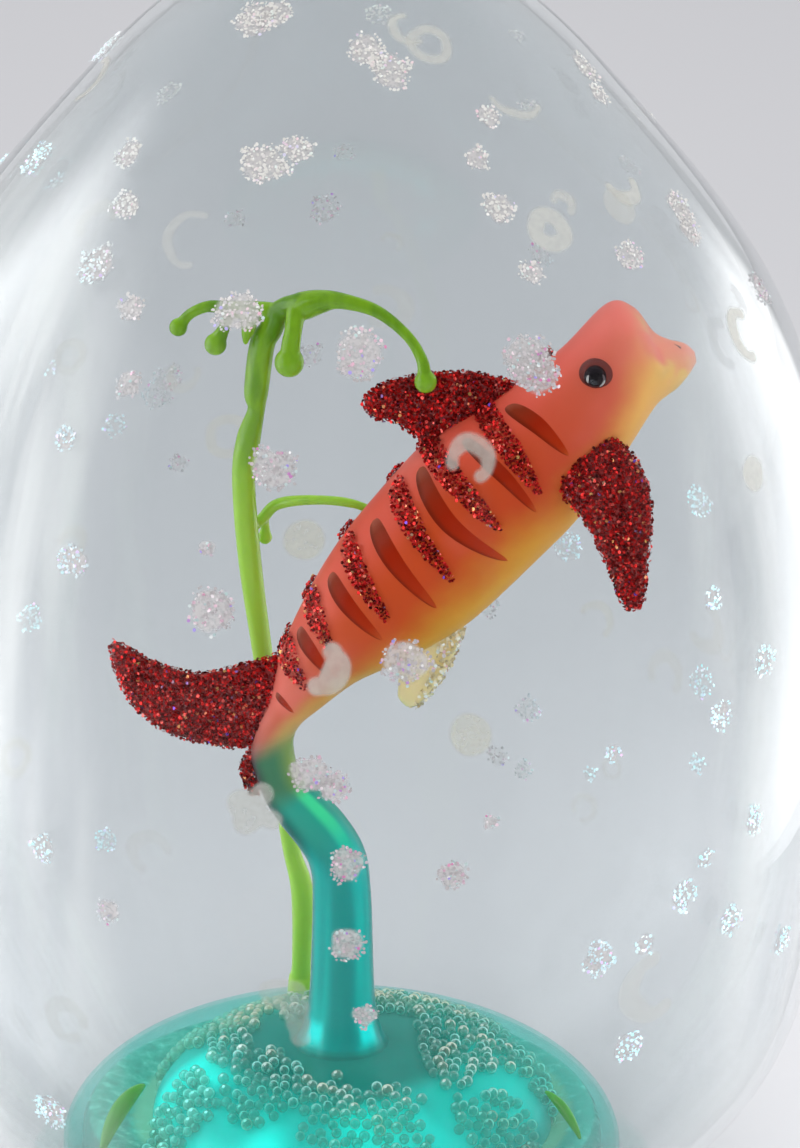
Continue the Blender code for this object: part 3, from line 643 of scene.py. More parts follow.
def rod_mesh(name, rows, sides=20):
    """A round rod along (x, y, z, radius) rows."""
    rows = np.asarray(rows, float)
    along = unit(np.gradient(rows[:, :3], axis=0))
    side = unit(np.cross(along, np.where(np.abs(along[:, 1:2]) > 0.9, [[1.0, 0, 0]], [[0, 1.0, 0]])))
    turn = full_turn(sides)[None, :, None]
    ring = side[:, None] * np.cos(turn) + np.cross(along, side)[:, None] * np.sin(turn)
    points = rows[:, None, :3] + ring * rows[:, None, 3:4]
    return grid_mesh(name, points, closed=True, caps=True)


def ball_mesh(name, radius, centre, segments, rings, stretch=(1.0, 1.0, 1.0)):
    """A ball, stretched along each axis, in metres."""
    mesh = bpy.data.meshes.new(name)
    bm = bmesh.new()
    bmesh.ops.create_uvsphere(bm, u_segments=segments, v_segments=rings, radius=radius)
    bmesh.ops.transform(bm, matrix=Matrix.Diagonal((*stretch, 1.0)), verts=bm.verts)
    bmesh.ops.translate(bm, verts=bm.verts, vec=centre)
    bm.to_mesh(mesh)
    bm.free()
    mesh.shade_smooth()
    return mesh


def evaluated_mesh(thing, name):
    """The thing's mesh with its modifiers, as a plain mesh; the thing itself is removed."""
    depsgraph = bpy.context.evaluated_depsgraph_get()
    mesh = bpy.data.meshes.new_from_object(thing.evaluated_get(depsgraph), depsgraph=depsgraph)
    mesh.name = name
    bpy.data.objects.remove(thing, do_unlink=True)
    return mesh


def fused(name, mesh, voxel, smoothing):
    """Overlapping rods melted into one smooth skin."""
    thing = add_object(name + "_rods", mesh)
    melt = thing.modifiers.new("melt", "REMESH")
    melt.mode = "VOXEL"
    melt.voxel_size = voxel * MM
    melt.use_smooth_shade = True
    soften = thing.modifiers.new("soften", "SMOOTH")
    soften.factor = 0.5
    soften.iterations = smoothing
    return evaluated_mesh(thing, name)


# ---------------------------------------------------------------- nodes


class Value:
    """A node's output, to reckon with."""

    def __init__(self, socket):
        self.socket = socket
        self.tree = socket.id_data

    def math(self, operation, *others, clamp=False):
        """A Math node on this value and others."""
        inputs = dict(enumerate((self, *others)))
        node = put(self.tree, "ShaderNodeMath", inputs, operation=operation, use_clamp=clamp)
        return Value(node.outputs[0])

    def __add__(self, other):
        return self.math("ADD", other)

    def __sub__(self, other):
        return self.math("SUBTRACT", other)

    def __mul__(self, other):
        return self.math("MULTIPLY", other)

    def eased(self, low, high, to_low=0.0, to_high=1.0):
        """The value eased from one range to another."""
        inputs = {"Value": self, "From Min": low, "From Max": high, "To Min": to_low, "To Max": to_high}
        return Value(put(self.tree, "ShaderNodeMapRange", inputs, interpolation_type="SMOOTHSTEP").outputs[0])

    def ramp(self, stops, smooth=False):
        """Colours by the value, as (place, colour) stops."""
        node = put(self.tree, "ShaderNodeValToRGB", {"Fac": self})
        bar = node.color_ramp
        bar.interpolation = "EASE" if smooth else "LINEAR"
        while len(bar.elements) < len(stops):
            bar.elements.new(0.5)
        for element, (place, colour) in zip(bar.elements, stops):
            element.position = place
            element.color = (*colour, 1.0)
        return Value(node.outputs["Color"])


def put(tree, kind, inputs=None, **settings):
    """A node with its settings and inputs, which are plain values, nodes or their outputs."""
    node = tree.nodes.new(kind)
    for key, value in settings.items():
        setattr(node, key, value)
    for key, value in (inputs or {}).items():
        socket = node.inputs[key]
        if isinstance(value, Value):
            value = value.socket
        elif isinstance(value, bpy.types.Node):
            value = value.outputs[0]
        if isinstance(value, bpy.types.NodeSocket):
            tree.links.new(value, socket)
        else:
            socket.default_value = (*value, 1.0) if socket.type == "RGBA" else value
    return node


def blend(share, first, second, kind="MIX"):
    """Two colours mixed."""
    tree = next(part.tree for part in (share, first) if isinstance(part, Value))
    node = put(tree, "ShaderNodeMix", {0: share, 6: first, 7: second}, data_type="RGBA", blend_type=kind)
    return Value(node.outputs[2])


def new_tree(name, sockets):
    """A Geometry Nodes tree with named inputs, as (name, kind, value)."""
    tree = bpy.data.node_groups.new(name, "GeometryNodeTree")
    tree.interface.new_socket("Geometry", in_out="INPUT", socket_type="NodeSocketGeometry")
    for label, kind, value in sockets:
        socket = tree.interface.new_socket(label, in_out="INPUT", socket_type="NodeSocket" + kind)
        if value is not None:
            socket.default_value = value
    tree.interface.new_socket("Geometry", in_out="OUTPUT", socket_type="NodeSocketGeometry")
    return tree, tree.nodes.new("NodeGroupInput").outputs


def random_number(tree, low, high, seed):
    """A random number for each point or instance."""
    inputs = {"Min": low, "Max": high, "Seed": seed}
    return Value(put(tree, "FunctionNodeRandomValue", inputs, data_type="FLOAT").outputs[1])


def finish_tree(tree, instances, label, seed, material):
    """Stores a random number on each instance, and ends in Realize Instances and Set Material."""
    inputs = {"Geometry": instances, "Name": label, "Value": random_number(tree, 0.0, 1.0, seed)}
    kept = put(tree, "GeometryNodeStoreNamedAttribute", inputs, data_type="FLOAT", domain="INSTANCE")
    real = put(tree, "GeometryNodeRealizeInstances", {"Geometry": kept})
    painted = put(tree, "GeometryNodeSetMaterial", {"Geometry": real, "Material": material})
    put(tree, "NodeGroupOutput", {0: painted})
    return tree


@functools.cache
def glitter_tree():
    """Scatters small flat six-sided flakes over a surface, tilted at random."""
    sockets = [
        ("Flake Radius", "Float", 0.0002), ("Flakes per Area", "Float", 1e7), ("Tilt", "Float", 0.5),
        ("Lift", "Float", 0.0001), ("Seed", "Int", 1), ("Finish", "Material", None),
    ]
    tree, given = new_tree("glitter", sockets)
    seed, tilt = given["Seed"], Value(given["Tilt"])
    inputs = {"Mesh": given["Geometry"], "Density": given["Flakes per Area"], "Seed": seed}
    spread = put(tree, "GeometryNodeDistributePointsOnFaces", inputs, distribute_method="RANDOM")
    height = random_number(tree, 0.2, 1.0, seed) * Value(given["Lift"])
    inputs = {0: spread.outputs["Normal"], "Scale": height}
    offset = put(tree, "ShaderNodeVectorMath", inputs, operation="SCALE")
    raised = put(tree, "GeometryNodeSetPosition", {"Geometry": spread.outputs["Points"], "Offset": offset})
    inputs = {"Vertices": 6, "Radius": given["Flake Radius"]}
    flake = put(tree, "GeometryNodeMeshCircle", inputs, fill_type="NGON")
    least = tilt * -1.0
    low = put(tree, "ShaderNodeCombineXYZ", {"X": least, "Y": least})
    high = put(tree, "ShaderNodeCombineXYZ", {"X": tilt, "Y": tilt, "Z": 6.28})
    inputs = {0: low, 1: high, "Seed": seed}
    lean = put(tree, "FunctionNodeRandomValue", inputs, data_type="FLOAT_VECTOR")
    lean = put(tree, "FunctionNodeEulerToRotation", {0: lean})
    inputs = {"Rotation": spread.outputs["Rotation"], "Rotate By": lean}
    turned = put(tree, "FunctionNodeRotateRotation", inputs, rotation_space="LOCAL")
    size = random_number(tree, 0.6, 1.15, seed)
    inputs = {"Points": raised, "Instance": flake, "Rotation": turned, "Scale": size}
    placed = put(tree, "GeometryNodeInstanceOnPoints", inputs)
    return finish_tree(tree, placed, "flake_tint", 77, given["Finish"])


def bead_tree():
    """Sets a round bead of its own size on each point of a mesh."""
    sockets = [("Bead Radius", "Float", 0.0006), ("Seed", "Int", 1), ("Finish", "Material", None)]
    tree, given = new_tree("beads", sockets)
    seed = given["Seed"]
    points = put(tree, "GeometryNodeMeshToPoints", {"Mesh": given["Geometry"]})
    bead = put(tree, "GeometryNodeMeshUVSphere", {"Segments": 8, "Rings": 6, "Radius": given["Bead Radius"]})
    soft = put(tree, "GeometryNodeSetShadeSmooth", {"Geometry": bead, "Shade Smooth": True})
    inputs = {"Points": points, "Instance": soft, "Scale": random_number(tree, 0.86, 1.1, seed)}
    placed = put(tree, "GeometryNodeInstanceOnPoints", inputs)
    return finish_tree(tree, placed, "bead_tint", seed, given["Finish"])


def scattered(name, host, tree, values):
    """The mesh that a tree makes on a host mesh."""
    thing = add_object(name + "_host", host)
    modifier = thing.modifiers.new(tree.name, "NODES")
    modifier.node_group = tree
    sockets = {item.name: item.identifier for item in tree.interface.items_tree if item.in_out == "INPUT"}
    for label, value in values.items():
        modifier[sockets[label]] = value
    return evaluated_mesh(thing, name)


def glitter(name, host, finish, *, radius, per_area, tilt, lift, seed):
    """Flakes scattered on a host mesh; their radius and how far they rise are in mm."""
    values = {
        "Flake Radius": radius * MM, "Flakes per Area": per_area, "Tilt": tilt, "Lift": lift * MM,
        "Seed": seed, "Finish": finish,
    }
    return scattered(name, host, glitter_tree(), values)


# ---------------------------------------------------------------- finishes


class Finish:
    """A node material in the making."""

    def __init__(self, name):
        self.material = bpy.data.materials.new(name)
        self.material.use_nodes = True
        self.tree = self.material.node_tree
        self.tree.nodes.clear()

    def put(self, kind, inputs=None, **settings):
        """A node of this material."""
        return put(self.tree, kind, inputs, **settings)

    def named(self, name):
        """A number stored on the piece's points."""
        return Value(self.put("ShaderNodeAttribute", attribute_name=name).outputs["Fac"])

    def place(self, stretch=None):
        """Object coordinates, stretched along each axis if asked."""
        place = self.put("ShaderNodeTexCoord").outputs["Object"]
        return self.put("ShaderNodeMapping", {"Vector": place, "Scale": stretch}) if stretch else place

    def axes(self):
        """Object coordinates one by one."""
        return [Value(axis) for axis in self.put("ShaderNodeSeparateXYZ", {0: self.place()}).outputs]

    def vector(self, operation, first, second=None):
        """A Vector Math node on one or two vectors."""
        inputs = {0: first} if second is None else {0: first, 1: second}
        return self.put("ShaderNodeVectorMath", inputs, operation=operation)

    def from_axis(self, x, y):
        """Distance from an upright axis through (x, y), given in mm."""
        axes = self.axes()
        flat = self.put("ShaderNodeCombineXYZ", {"X": axes[0] - x * MM, "Y": axes[1] - y * MM})
        return Value(self.vector("LENGTH", flat).outputs["Value"])

    def grain(self, scale, detail=3.0, roughness=0.5, place=None):
        """Noise in object space; scale is in cells per metre."""
        inputs = {"Vector": place or self.place(), "Scale": scale, "Detail": detail, "Roughness": roughness}
        return Value(self.put("ShaderNodeTexNoise", inputs).outputs["Fac"])

    def bumped(self, height, strength, distance):
        """A normal from a height; distance is in mm."""
        inputs = {"Height": height, "Strength": strength, "Distance": distance * MM}
        return self.put("ShaderNodeBump", inputs)

    def facing(self):
        """Nothing where a face is seen squarely, and 1 at the piece's edge."""
        return Value(self.put("ShaderNodeLayerWeight", {"Blend": 0.5}).outputs["Facing"])

    def mirror_share(self, least, most, power=3.0):
        """How much a glass face mirrors, by how squarely it is seen."""
        return self.facing().math("POWER", power) * (most - least) + least

    def clear(self, tint):
        """Glass that is seen through."""
        return self.put("ShaderNodeBsdfTransparent", {"Color": tint})

    def gloss(self, tint, roughness, more=None):
        """A mirroring shader."""
        return self.put("ShaderNodeBsdfGlossy", {"Color": tint, "Roughness": roughness, **(more or {})})

    def body(self, colour, roughness, specular=0.5, glow=None, more=None):
        """A solid shader; glow lights it up in its own colour."""
        inputs = {"Base Color": colour, "Roughness": roughness, "Specular IOR Level": specular}
        if glow is not None:
            inputs |= {"Emission Color": colour, "Emission Strength": glow}
        return self.put("ShaderNodeBsdfPrincipled", inputs | (more or {}))

    def over(self, share, under, top):
        """One shader over another."""
        return self.put("ShaderNodeMixShader", {0: share, 1: under, 2: top})

    def closed(self, shader):
        """The finished material. Its glow isn't a lamp for other pieces."""
        self.material.cycles.emission_sampling = "NONE"
        self.put("ShaderNodeOutputMaterial", {"Surface": shader})
        return self.material


def envelope_glass():
    """Thin clear glass: seen through, mirroring more at its edges, with faint milky streaks that have a
    painted glow.
    """
    glass = Finish("envelope_glass")
    x, y, z = glass.axes()
    around = glass.vector("NORMALIZE", glass.put("ShaderNodeCombineXYZ", {"X": x, "Y": y}))
    upright = glass.vector("ADD", around, glass.put("ShaderNodeCombineXYZ", {"Z": z * 2.2}))
    streaks = glass.grain(7.0, 3.0, 0.55, upright).eased(0.47, 0.60)
    sides = (x - 0.006).math("ABSOLUTE").eased(0.022, 0.038, 0.03, 1.0)
    streaks = streaks * sides * z.eased(0.135, 0.09, 0.35, 1.0) * 0.17
    # The milky streaks glow a little: painted light.
    milk = glass.body((0.72, 0.73, 0.72), 0.5, glow=0.35)
    streaked = glass.over(streaks, glass.clear((0.918, 0.934, 0.938)), milk)
    waves = glass.bumped(glass.grain(60.0, 1.0), 0.3, 0.05)
    gloss = glass.gloss((1.0, 1.0, 1.0), 0.015, {"Normal": waves})
    return glass.closed(glass.over(glass.mirror_share(0.005, 0.80), streaked, gloss))


def shell_glass():
    """Tinted glass of the dome's shell, with a little milky teal in it."""
    glass = Finish("tinted_shell_glass")
    mist = glass.grain(180.0, 2.0).eased(0.35, 0.7, 0.0, 0.02)
    cover = glass.mirror_share(0.006, 0.50, 4.0) + mist
    body = glass.body((0.22, 0.66, 0.60), 0.05)
    return glass.closed(glass.over(cover, glass.clear((0.73, 0.985, 0.960)), body))


def bulge_glass():
    """Painted glass of the bulge: a dark collar of painted shade round the tube, and turquoise outside it."""
    glass = Finish("turquoise_dome_glass")
    wander = (glass.grain(110.0, 2.0) - 0.5) * 0.10 + glass.from_axis(0.0, 0.0) * (1 / (30 * MM))
    colour = wander.ramp(BULGE_COLOURS, smooth=True)
    # Lighter patches, stronger towards the left: painted highlights.
    painted_highlights = glass.grain(85.0, 1.0).eased(0.44, 0.60) * wander.eased(0.36, 0.5) * wander.eased(0.74, 0.62)
    painted_highlights = painted_highlights * glass.axes()[0].eased(0.010, 0.0, 0.35, 1.0)
    colour = blend(painted_highlights, colour, (0.002, 0.98, 0.93))
    rough = glass.grain(500.0).eased(0.3, 0.7, 0.06, 0.16)
    # A little glow of its own: painted light.
    return glass.closed(glass.body(colour, rough, 0.12, 0.18))


def shoulder_glass():
    """Green-teal glass round the bulge, streaked, with a sandy line inside and a dark rim."""
    glass = Finish("streaked_shoulder_glass")
    streaks = glass.grain(620.0, 4.0, 0.65)
    colour = streaks.ramp(SHOULDER_COLOURS)
    to_right = glass.axes()[0].math("DIVIDE", 27 * MM)
    colour = blend(to_right.eased(0.2, 0.8, 0.0, 0.6), colour, (0.01, 0.40, 0.37))
    uneven = streaks * (1.4 * MM) + glass.from_axis(*BULGE_CENTRE)
    sandy = uneven.eased(20.9 * MM, 21.6 * MM) * uneven.eased(24.0 * MM, 22.8 * MM)
    colour = blend(sandy * 0.85, colour, (0.52, 0.58, 0.40))
    rim = glass.from_axis(0.0, 0.0).eased(26.0 * MM, 26.35 * MM)
    colour = blend(rim, colour, (0.02, 0.23, 0.20))
    rough = streaks.eased(0.3, 0.8, 0.12, 0.35)
    return glass.closed(glass.body(colour, rough, 0.3, more={"Normal": glass.bumped(streaks, 0.3, 0.3)}))


def bead_glass():
    """Clear beads: seen through in the middle, mirroring towards the rim; a few are tinted. Painted light
    makes them golden at the back and lighter at the front left, and gives them a glowing glint.
    """
    glass = Finish("clear_bead_glass")
    x, y, _ = glass.axes()
    tint = glass.named("bead_tint")
    # Golden at the back and at the rear left: painted light, as if the beads were lit from behind.
    left = x.eased(-0.003, -0.008) * y.eased(0.001, 0.006)
    sandy = left.math("MAXIMUM", y.eased(0.006, 0.012) * tint.eased(0.25, 0.5))
    colour = blend(sandy * 0.85, tint.ramp(BEAD_COLOURS), (0.78, 0.74, 0.52))
    # Paler, more covered and glinting more at the front left: painted light.
    lit_front_left = x.eased(-0.008, -0.013) * y.eased(0.002, -0.004)
    colour = blend(lit_front_left * 0.55, colour, (0.66, 1.0, 0.93))
    # A glowing painted glint where a bead faces up, to the front and to the left.
    normal = glass.put("ShaderNodeNewGeometry").outputs["Normal"]
    upward = Value(glass.vector("DOT_PRODUCT", normal, (-0.30, -0.42, 0.857)).outputs["Value"])
    painted_glint = upward.eased(0.93, 0.975) * tint.eased(0.45, 0.9, 0.05, 0.55)
    painted_glint = painted_glint.math("MULTIPLY", lit_front_left * 0.7 + 1.0, clamp=True)
    colour = blend(painted_glint, colour, (0.90, 1.0, 0.98))
    body = glass.body(colour, 0.08, 1.0, painted_glint * 0.3)
    facing = glass.facing()
    chance = (tint * 7.0).math("FRACT")
    cover = facing.eased(0.18, 0.50) * facing.eased(0.98, 0.62) * chance.eased(0.2, 0.9, 0.15, 0.68) + 0.12
    cover = cover.math("MAXIMUM", painted_glint.math("MAXIMUM", left * 0.5))
    cover = (lit_front_left * (chance * 0.4)).math("ADD", cover, clamp=True)
    tinted = glass.over(cover, glass.clear((0.50, 0.84, 0.81)), body)
    gloss = glass.gloss((0.80, 1.0, 0.97), 0.04)
    return glass.closed(glass.over(glass.mirror_share(0.06, 0.50), tinted, gloss))


def fish_skin(glass, row, angle):
    """The fish's colours: red at the back, yellow at the belly, and a mottled head."""
    cloud = glass.grain(150.0) - 0.5
    drift = cloud * 0.22 + angle
    along = row * (1 / RAMP_ROWS) + 0.5
    back, flank, belly = (
        along.ramp([(number / RAMP_ROWS + 0.5, colour) for number, colour in stops])
        for stops in (BACK_COLOURS, FLANK_COLOURS, BELLY_COLOURS)
    )
    low = row.eased(3.6, 1.2) * 0.16 + (row.eased(9.5, 13.0) * 0.31 + drift)
    skin = blend(low.eased(0.52, 0.84), blend(drift.eased(0.14, 0.42), back, flank), belly)
    blush = glass.grain(105.0, 2.0, 0.4).eased(0.46, 0.66, 0.0, 0.5) * drift.eased(0.62, 0.45)
    skin = blend(blush, skin, (0.96, 0.22, 0.17))
    edge = cloud * 1.6 + row
    brow = edge.eased(11.2, 12.7) * row.eased(15.4, 14.4) * angle.eased(0.62, 0.30, 0.0, 0.62)
    skin = blend(brow, skin, (0.84, 0.44, 0.22))
    snout = row.eased(13.2, 14.4) * drift.eased(0.45, 0.70) * 0.55
    skin = blend(snout, skin, (0.86, 0.52, 0.12))
    cheek = row.eased(11.4, 12.2) * row.eased(13.6, 12.9)
    cheek = cheek * drift.eased(0.22, 0.30) * drift.eased(0.50, 0.40, 0.0, 0.75)
    skin = blend(cheek, skin, (0.88, 0.22, 0.16))
    patches = glass.grain(230.0, 2.0)
    on_head = row.eased(11.6, 12.6) * row.eased(15.2, 14.6)
    skin = blend(on_head * patches.eased(0.50, 0.62, 0.0, 0.50), skin, (0.70, 0.44, 0.15))
    skin = blend(on_head * patches.eased(0.47, 0.37, 0.0, 0.45), skin, (0.92, 0.21, 0.18))
    return blend(row.eased(14.2, 15.4, 0.0, 0.85), skin, (0.86, 0.34, 0.24))


def tube_colours(glass, row, angle):
    """The tube's colours: streaked teal with painted highlight bands round it, painted highlights on its
    flare and painted shade at its foot, a painted highlight line higher up, and green where it meets the
    fish.
    """
    # Bands round the tube, lighter and darker in turn: painted highlights.
    highlight_bands = (angle * (4 * math.pi) - 0.5 * math.pi).math("SINE")
    teal = blend(highlight_bands.eased(-0.7, 0.9), (0.003, 0.32, 0.29), (0.004, 0.54, 0.49))
    veins = glass.grain(60.0, 2.0, place=glass.place((12.0, 12.0, 0.5)))
    teal = blend(veins.eased(0.45, 0.7, 0.0, 0.4), teal, (0.006, 0.26, 0.25))
    # Bright spots on the flare: painted highlights.
    flare_highlights = row.eased(-9.7, -9.0) * row.eased(-8.1, -8.7) * highlight_bands.eased(0.2, 0.9)
    teal = blend(flare_highlights, teal, (0.005, 0.98, 0.93))
    # Darker at the foot, where it meets the dome: painted shade.
    teal = blend(row.eased(-9.4, -10.3), teal, (0.004, 0.16, 0.145))
    green = blend(angle.eased(0.12, 0.42), (0.05, 0.05, 0.055), (0.05, 0.20, 0.10))
    green = blend(angle.eased(0.5, 0.85), green, (0.22, 0.34, 0.07))
    upper = blend(angle.eased(0.25, 0.45), (0.006, 0.17, 0.15), (0.02, 0.36, 0.27))
    # A bright green line on one side: a painted highlight.
    upper = blend(angle.eased(0.60, 0.70) * angle.eased(0.84, 0.76), upper, (0.05, 0.74, 0.34))
    teal = blend(row.eased(-5.4, -3.2), teal, upper)
    return blend(row.eased(-2.7, -1.5), teal, green)


def skin_glass():
    """Tube and fish in one: teal glass that turns into satin red and yellow."""
    glass = Finish("fish_and_tube_glass")
    row = glass.named("body_row")
    angle = glass.named("from_back")
    on_fish = (angle * -0.5 + row).eased(-0.6, 0.7)
    colour = blend(on_fish, tube_colours(glass, row, angle), fish_skin(glass, row, angle))
    satin = glass.grain(5200.0, 2.0)
    rough = (satin - 0.5) * 0.10 + (on_fish * 0.38 + 0.07)
    more = {
        "Subsurface Weight": 0.10, "Subsurface Radius": (1.0, 0.35, 0.2), "Subsurface Scale": 0.0010,
        "Sheen Weight": 0.04, "Sheen Roughness": 0.35, "Normal": glass.bumped(satin, 0.10, 0.05),
    }
    return glass.closed(glass.body(colour, rough, 0.16, more=more))


def bar_glass():
    """Clear bars where the satin is left off: brown at the back, with a painted reflection at the tip there,
    and deep orange-red below.
    """
    glass = Finish("clear_bar_glass")
    depth = (glass.grain(300.0, 2.0) - 0.5) * 0.2 + glass.named("bar_run")
    edge = glass.named("bar_across").eased(0.25, 0.95, 0.0, 0.55)
    colour = blend(edge, depth.ramp(BAR_COLOURS), (0.10, 0.012, 0.004))
    return glass.closed(glass.body(colour, glass.grain(700.0).eased(0.3, 0.7, 0.08, 0.2), 0.06))


def fin_glass():
    """Deep red glass under the glitter of the fins."""
    glass = Finish("deep_red_glass")
    lumps = glass.grain(1400.0)
    colour = lumps.ramp(FIN_COLOURS)
    return glass.closed(glass.body(colour, 0.35, more={"Normal": glass.bumped(lumps, 0.8, 0.3)}))


def painted_glow(y):
    """A painted glow on paint and glitter, for light let through them: more on the half away from the soft
    box.
    """
    return y.eased(-0.015, 0.02, 0.42, 0.98)


def worn_flakes(flakes, picked, metallic, low, high, glow):
    """Flakes with worn patches, which are redder and have another roughness."""
    wear = flakes.grain(6000.0, 1.0)
    colour = blend(wear.eased(0.4, 0.8, 0.0, 0.3), picked, (0.9, 0.85, 0.85), "MULTIPLY")
    rough = wear.eased(0.3, 0.7, low, high)
    return flakes.closed(flakes.body(colour, rough, glow=glow, more={"Metallic": metallic}))


def flake_finish(name, stops, metallic, low, high):
    """Glitter flakes whose colour is picked by their own number."""
    flakes = Finish(name)
    picked = flakes.named("flake_tint").ramp(stops)
    return worn_flakes(flakes, picked, metallic, low, high, 0.0)


def pearl_finish():
    """The envelope's flakes: creamy high up, greyer below and cooler low at the sides, where the coolness is
    a painted sheen; they have a painted glow.
    """
    flakes = Finish("pearl_glitter")
    x, y, z = flakes.axes()
    tint = flakes.named("flake_tint")
    picked = blend(z.eased(0.100, 0.112, 0.0, 0.65), tint.ramp(PEARL_FLAKES), (0.54, 0.54, 0.505))
    picked = blend(z.eased(0.114, 0.094), picked, (0.69, 0.68, 0.69), "MULTIPLY")
    # Cooler at the sides, where the flakes are seen at a slant: a painted sheen.
    right = x.eased(0.016, 0.030) * z.eased(0.100, 0.078)
    left = x.eased(-0.018, -0.030, 0.0, 0.75)
    picked = blend(left.math("MAXIMUM", right), picked, tint.ramp(COOL_FLAKES))
    return worn_flakes(flakes, picked, 0.0, 0.15, 0.35, painted_glow(y))


def drop_glass(name, dark, light, deep, pale, amount):
    """Glossy coloured glass of rods and drops, paler low down and deeper in its middle."""
    glass = Finish(name)
    swirl = glass.grain(120.0, place=glass.place((3.0, 3.0, 0.8)))
    colour = swirl.ramp([(0.30, dark), (0.50, light), (0.70, dark)], smooth=True)
    colour = blend(glass.axes()[2].eased(0.052, 0.098), blend(0.95, colour, pale), colour)
    colour = blend(glass.facing().eased(0.10, 0.55, amount, 0.0), colour, deep)
    more = {
        "Subsurface Weight": 0.25, "Subsurface Radius": (0.7, 1.0, 0.2), "Subsurface Scale": 0.0012,
        "Coat Weight": 0.2, "Coat Roughness": 0.03,
        "Normal": glass.bumped(glass.grain(420.0, 2.0), 0.10, 0.2),
    }
    return glass.closed(glass.body(colour, 0.07, 0.2, more=more))


def laid_on(coat, colour, cover):
    """Paint or glue on the envelope, as thick as its cover, with a painted glow."""
    body = coat.body(colour, 0.45, 0.2, painted_glow(coat.axes()[1]))
    return coat.closed(coat.over(cover, coat.clear((1.0, 1.0, 1.0)), body))


def brushed(coat):
    """How thickly the paint or glue is brushed on."""
    return coat.grain(900.0).eased(0.25, 0.7, 0.85, 1.05)


def milky_paint():
    """Milky paint, duller low at the front and warmer at the rear."""
    coat = Finish("milky_paint")
    x, y, z = coat.axes()
    front = y.eased(0.0, -0.01) * z.eased(0.105, 0.098) * x.eased(0.030, 0.018)
    colour = blend(front, (0.425, 0.42, 0.382), (0.78, 0.80, 0.80), "MULTIPLY")
    colour = blend(y.eased(-0.015, 0.02), colour, (1.10, 0.98, 0.84), "MULTIPLY")
    return laid_on(coat, colour, coat.named("mark_cover").math("MULTIPLY", brushed(coat), clamp=True))


def glitter_glue():
    """Grainy glue between the flakes, thinner at the rear."""
    coat = Finish("glitter_glue")
    fine = coat.grain(2600.0, 1.0)
    colour = blend(fine.eased(0.35, 0.65, 0.895, 1.0), (0.22, 0.22, 0.23), (0.40, 0.385, 0.385))
    grains = brushed(coat) * fine.eased(0.30, 0.58, 0.7, 1.0)
    cover = coat.named("mark_cover").math("MULTIPLY", grains, clamp=True)
    return laid_on(coat, colour, cover * coat.axes()[1].eased(-0.015, 0.02, 0.88, 0.45))


def eye_glass():
    """Smoky violet glass over the black of the eye."""
    glass = Finish("smoky_eye_glass")
    smoke = glass.grain(700.0).ramp([(0.3, (0.05, 0.025, 0.03)), (0.7, (0.16, 0.10, 0.10))])
    body = glass.body(smoke, 0.03)
    clear = glass.clear((0.55, 0.50, 0.53))
    return glass.closed(glass.over(glass.mirror_share(0.05, 0.95, 1.6), clear, body))


def plain_gloss(name, low, high, scale, roughness):
    """A solid finish with fine mottling."""
    gloss = Finish(name)
    mottle = gloss.grain(scale, 4.0)
    colour = mottle.ramp([(0.3, low), (0.7, high)])
    rough = mottle.eased(0.3, 0.7, roughness * 0.7, roughness * 1.4)
    return gloss.closed(gloss.body(colour, rough))


def brushed_gold():
    """Gold with a fine mottling."""
    gold = Finish("brushed_gold")
    mottle = gold.grain(800.0, 4.0)
    colour = mottle.ramp([(0.3, (0.72, 0.52, 0.22)), (0.7, (0.90, 0.72, 0.38))])
    more = {"Metallic": 1.0, "Normal": gold.bumped(mottle, 0.3, 0.05)}
    return gold.closed(gold.body(colour, mottle.eased(0.3, 0.7, 0.154, 0.308), more=more))


# ---------------------------------------------------------------- building


def build_envelope():
    """The clear envelope, its foot and the lip of its neck, as one piece of glass."""
    inner = OUTLINE - OUTLINE_SIDES * ENVELOPE_WALL
    loop = np.vstack([FOOT_OUTLINE, OUTLINE, NECK_LIP, inner[::-1], [INNER_FOOT]])
    mesh = turned_mesh("clear_envelope", *loop.T)
    add_piece(mesh, envelope_glass(), "clear_glass", "envelope", "foot_ring")


def dome_outline(lip, radius, widest, rise, flatness, steps, wall):
    """The outline of a hollow dome, from its lip up to its top."""
    quarter = np.linspace(0, math.pi / 2, steps)
    arc = np.stack([radius * np.cos(quarter) ** flatness, widest + rise * np.sin(quarter)], axis=1)
    arc[-1, 0] = 0.0
    return walled(np.vstack([lip, arc]), wall)


def build_dome():
    """The tinted shell, with the painted bulge and its shoulder under it."""
    loop = dome_outline(SHELL_LIP, SHELL_RADIUS, SHELL_WIDEST, SHELL_RISE, 1.0, 28, SHELL_WALL)
    add_piece(turned_mesh("dome_shell", *loop.T), shell_glass(), "teal_glass", "base_dome")
    loop = dome_outline(BULGE_LIP, BULGE_RADIUS, BULGE_WIDEST, BULGE_RISE, BULGE_FLATNESS, 34, BULGE_WALL)
    bulge = turned_mesh("dome_bulge", *loop.T)
    bulge.transform(Matrix.Translation(Vector((*BULGE_CENTRE, 0.0)) * MM))
    add_piece(bulge, bulge_glass(), "teal_glass")
    top = smoothed(SHOULDER, 5)
    loop = np.vstack([top, top[::-1] + SHOULDER_WALL])
    add_piece(turned_mesh("dome_shoulder", *loop.T), shoulder_glass(), "teal_glass")


def bead_place(x, y, lift):
    """Where a bead over (x, y) lies on the bulge or its shoulder."""
    east, north = x - BULGE_CENTRE[0], y - BULGE_CENTRE[1]
    from_axis = math.hypot(east, north)
    if from_axis > BULGE_RADIUS - 0.2:
        return (x, y, SHOULDER_LEVEL + lift)
    height = bulge_height(from_axis)
    slope = (bulge_height(from_axis + 0.1) - height) / 0.1 if from_axis < BULGE_RADIUS - 0.4 else -3.0
    tilt = math.hypot(1.0, slope)
    out = -slope / tilt * lift / max(from_axis, 1e-6)
    return (x + east * out, y + north * out, height + lift / tilt)


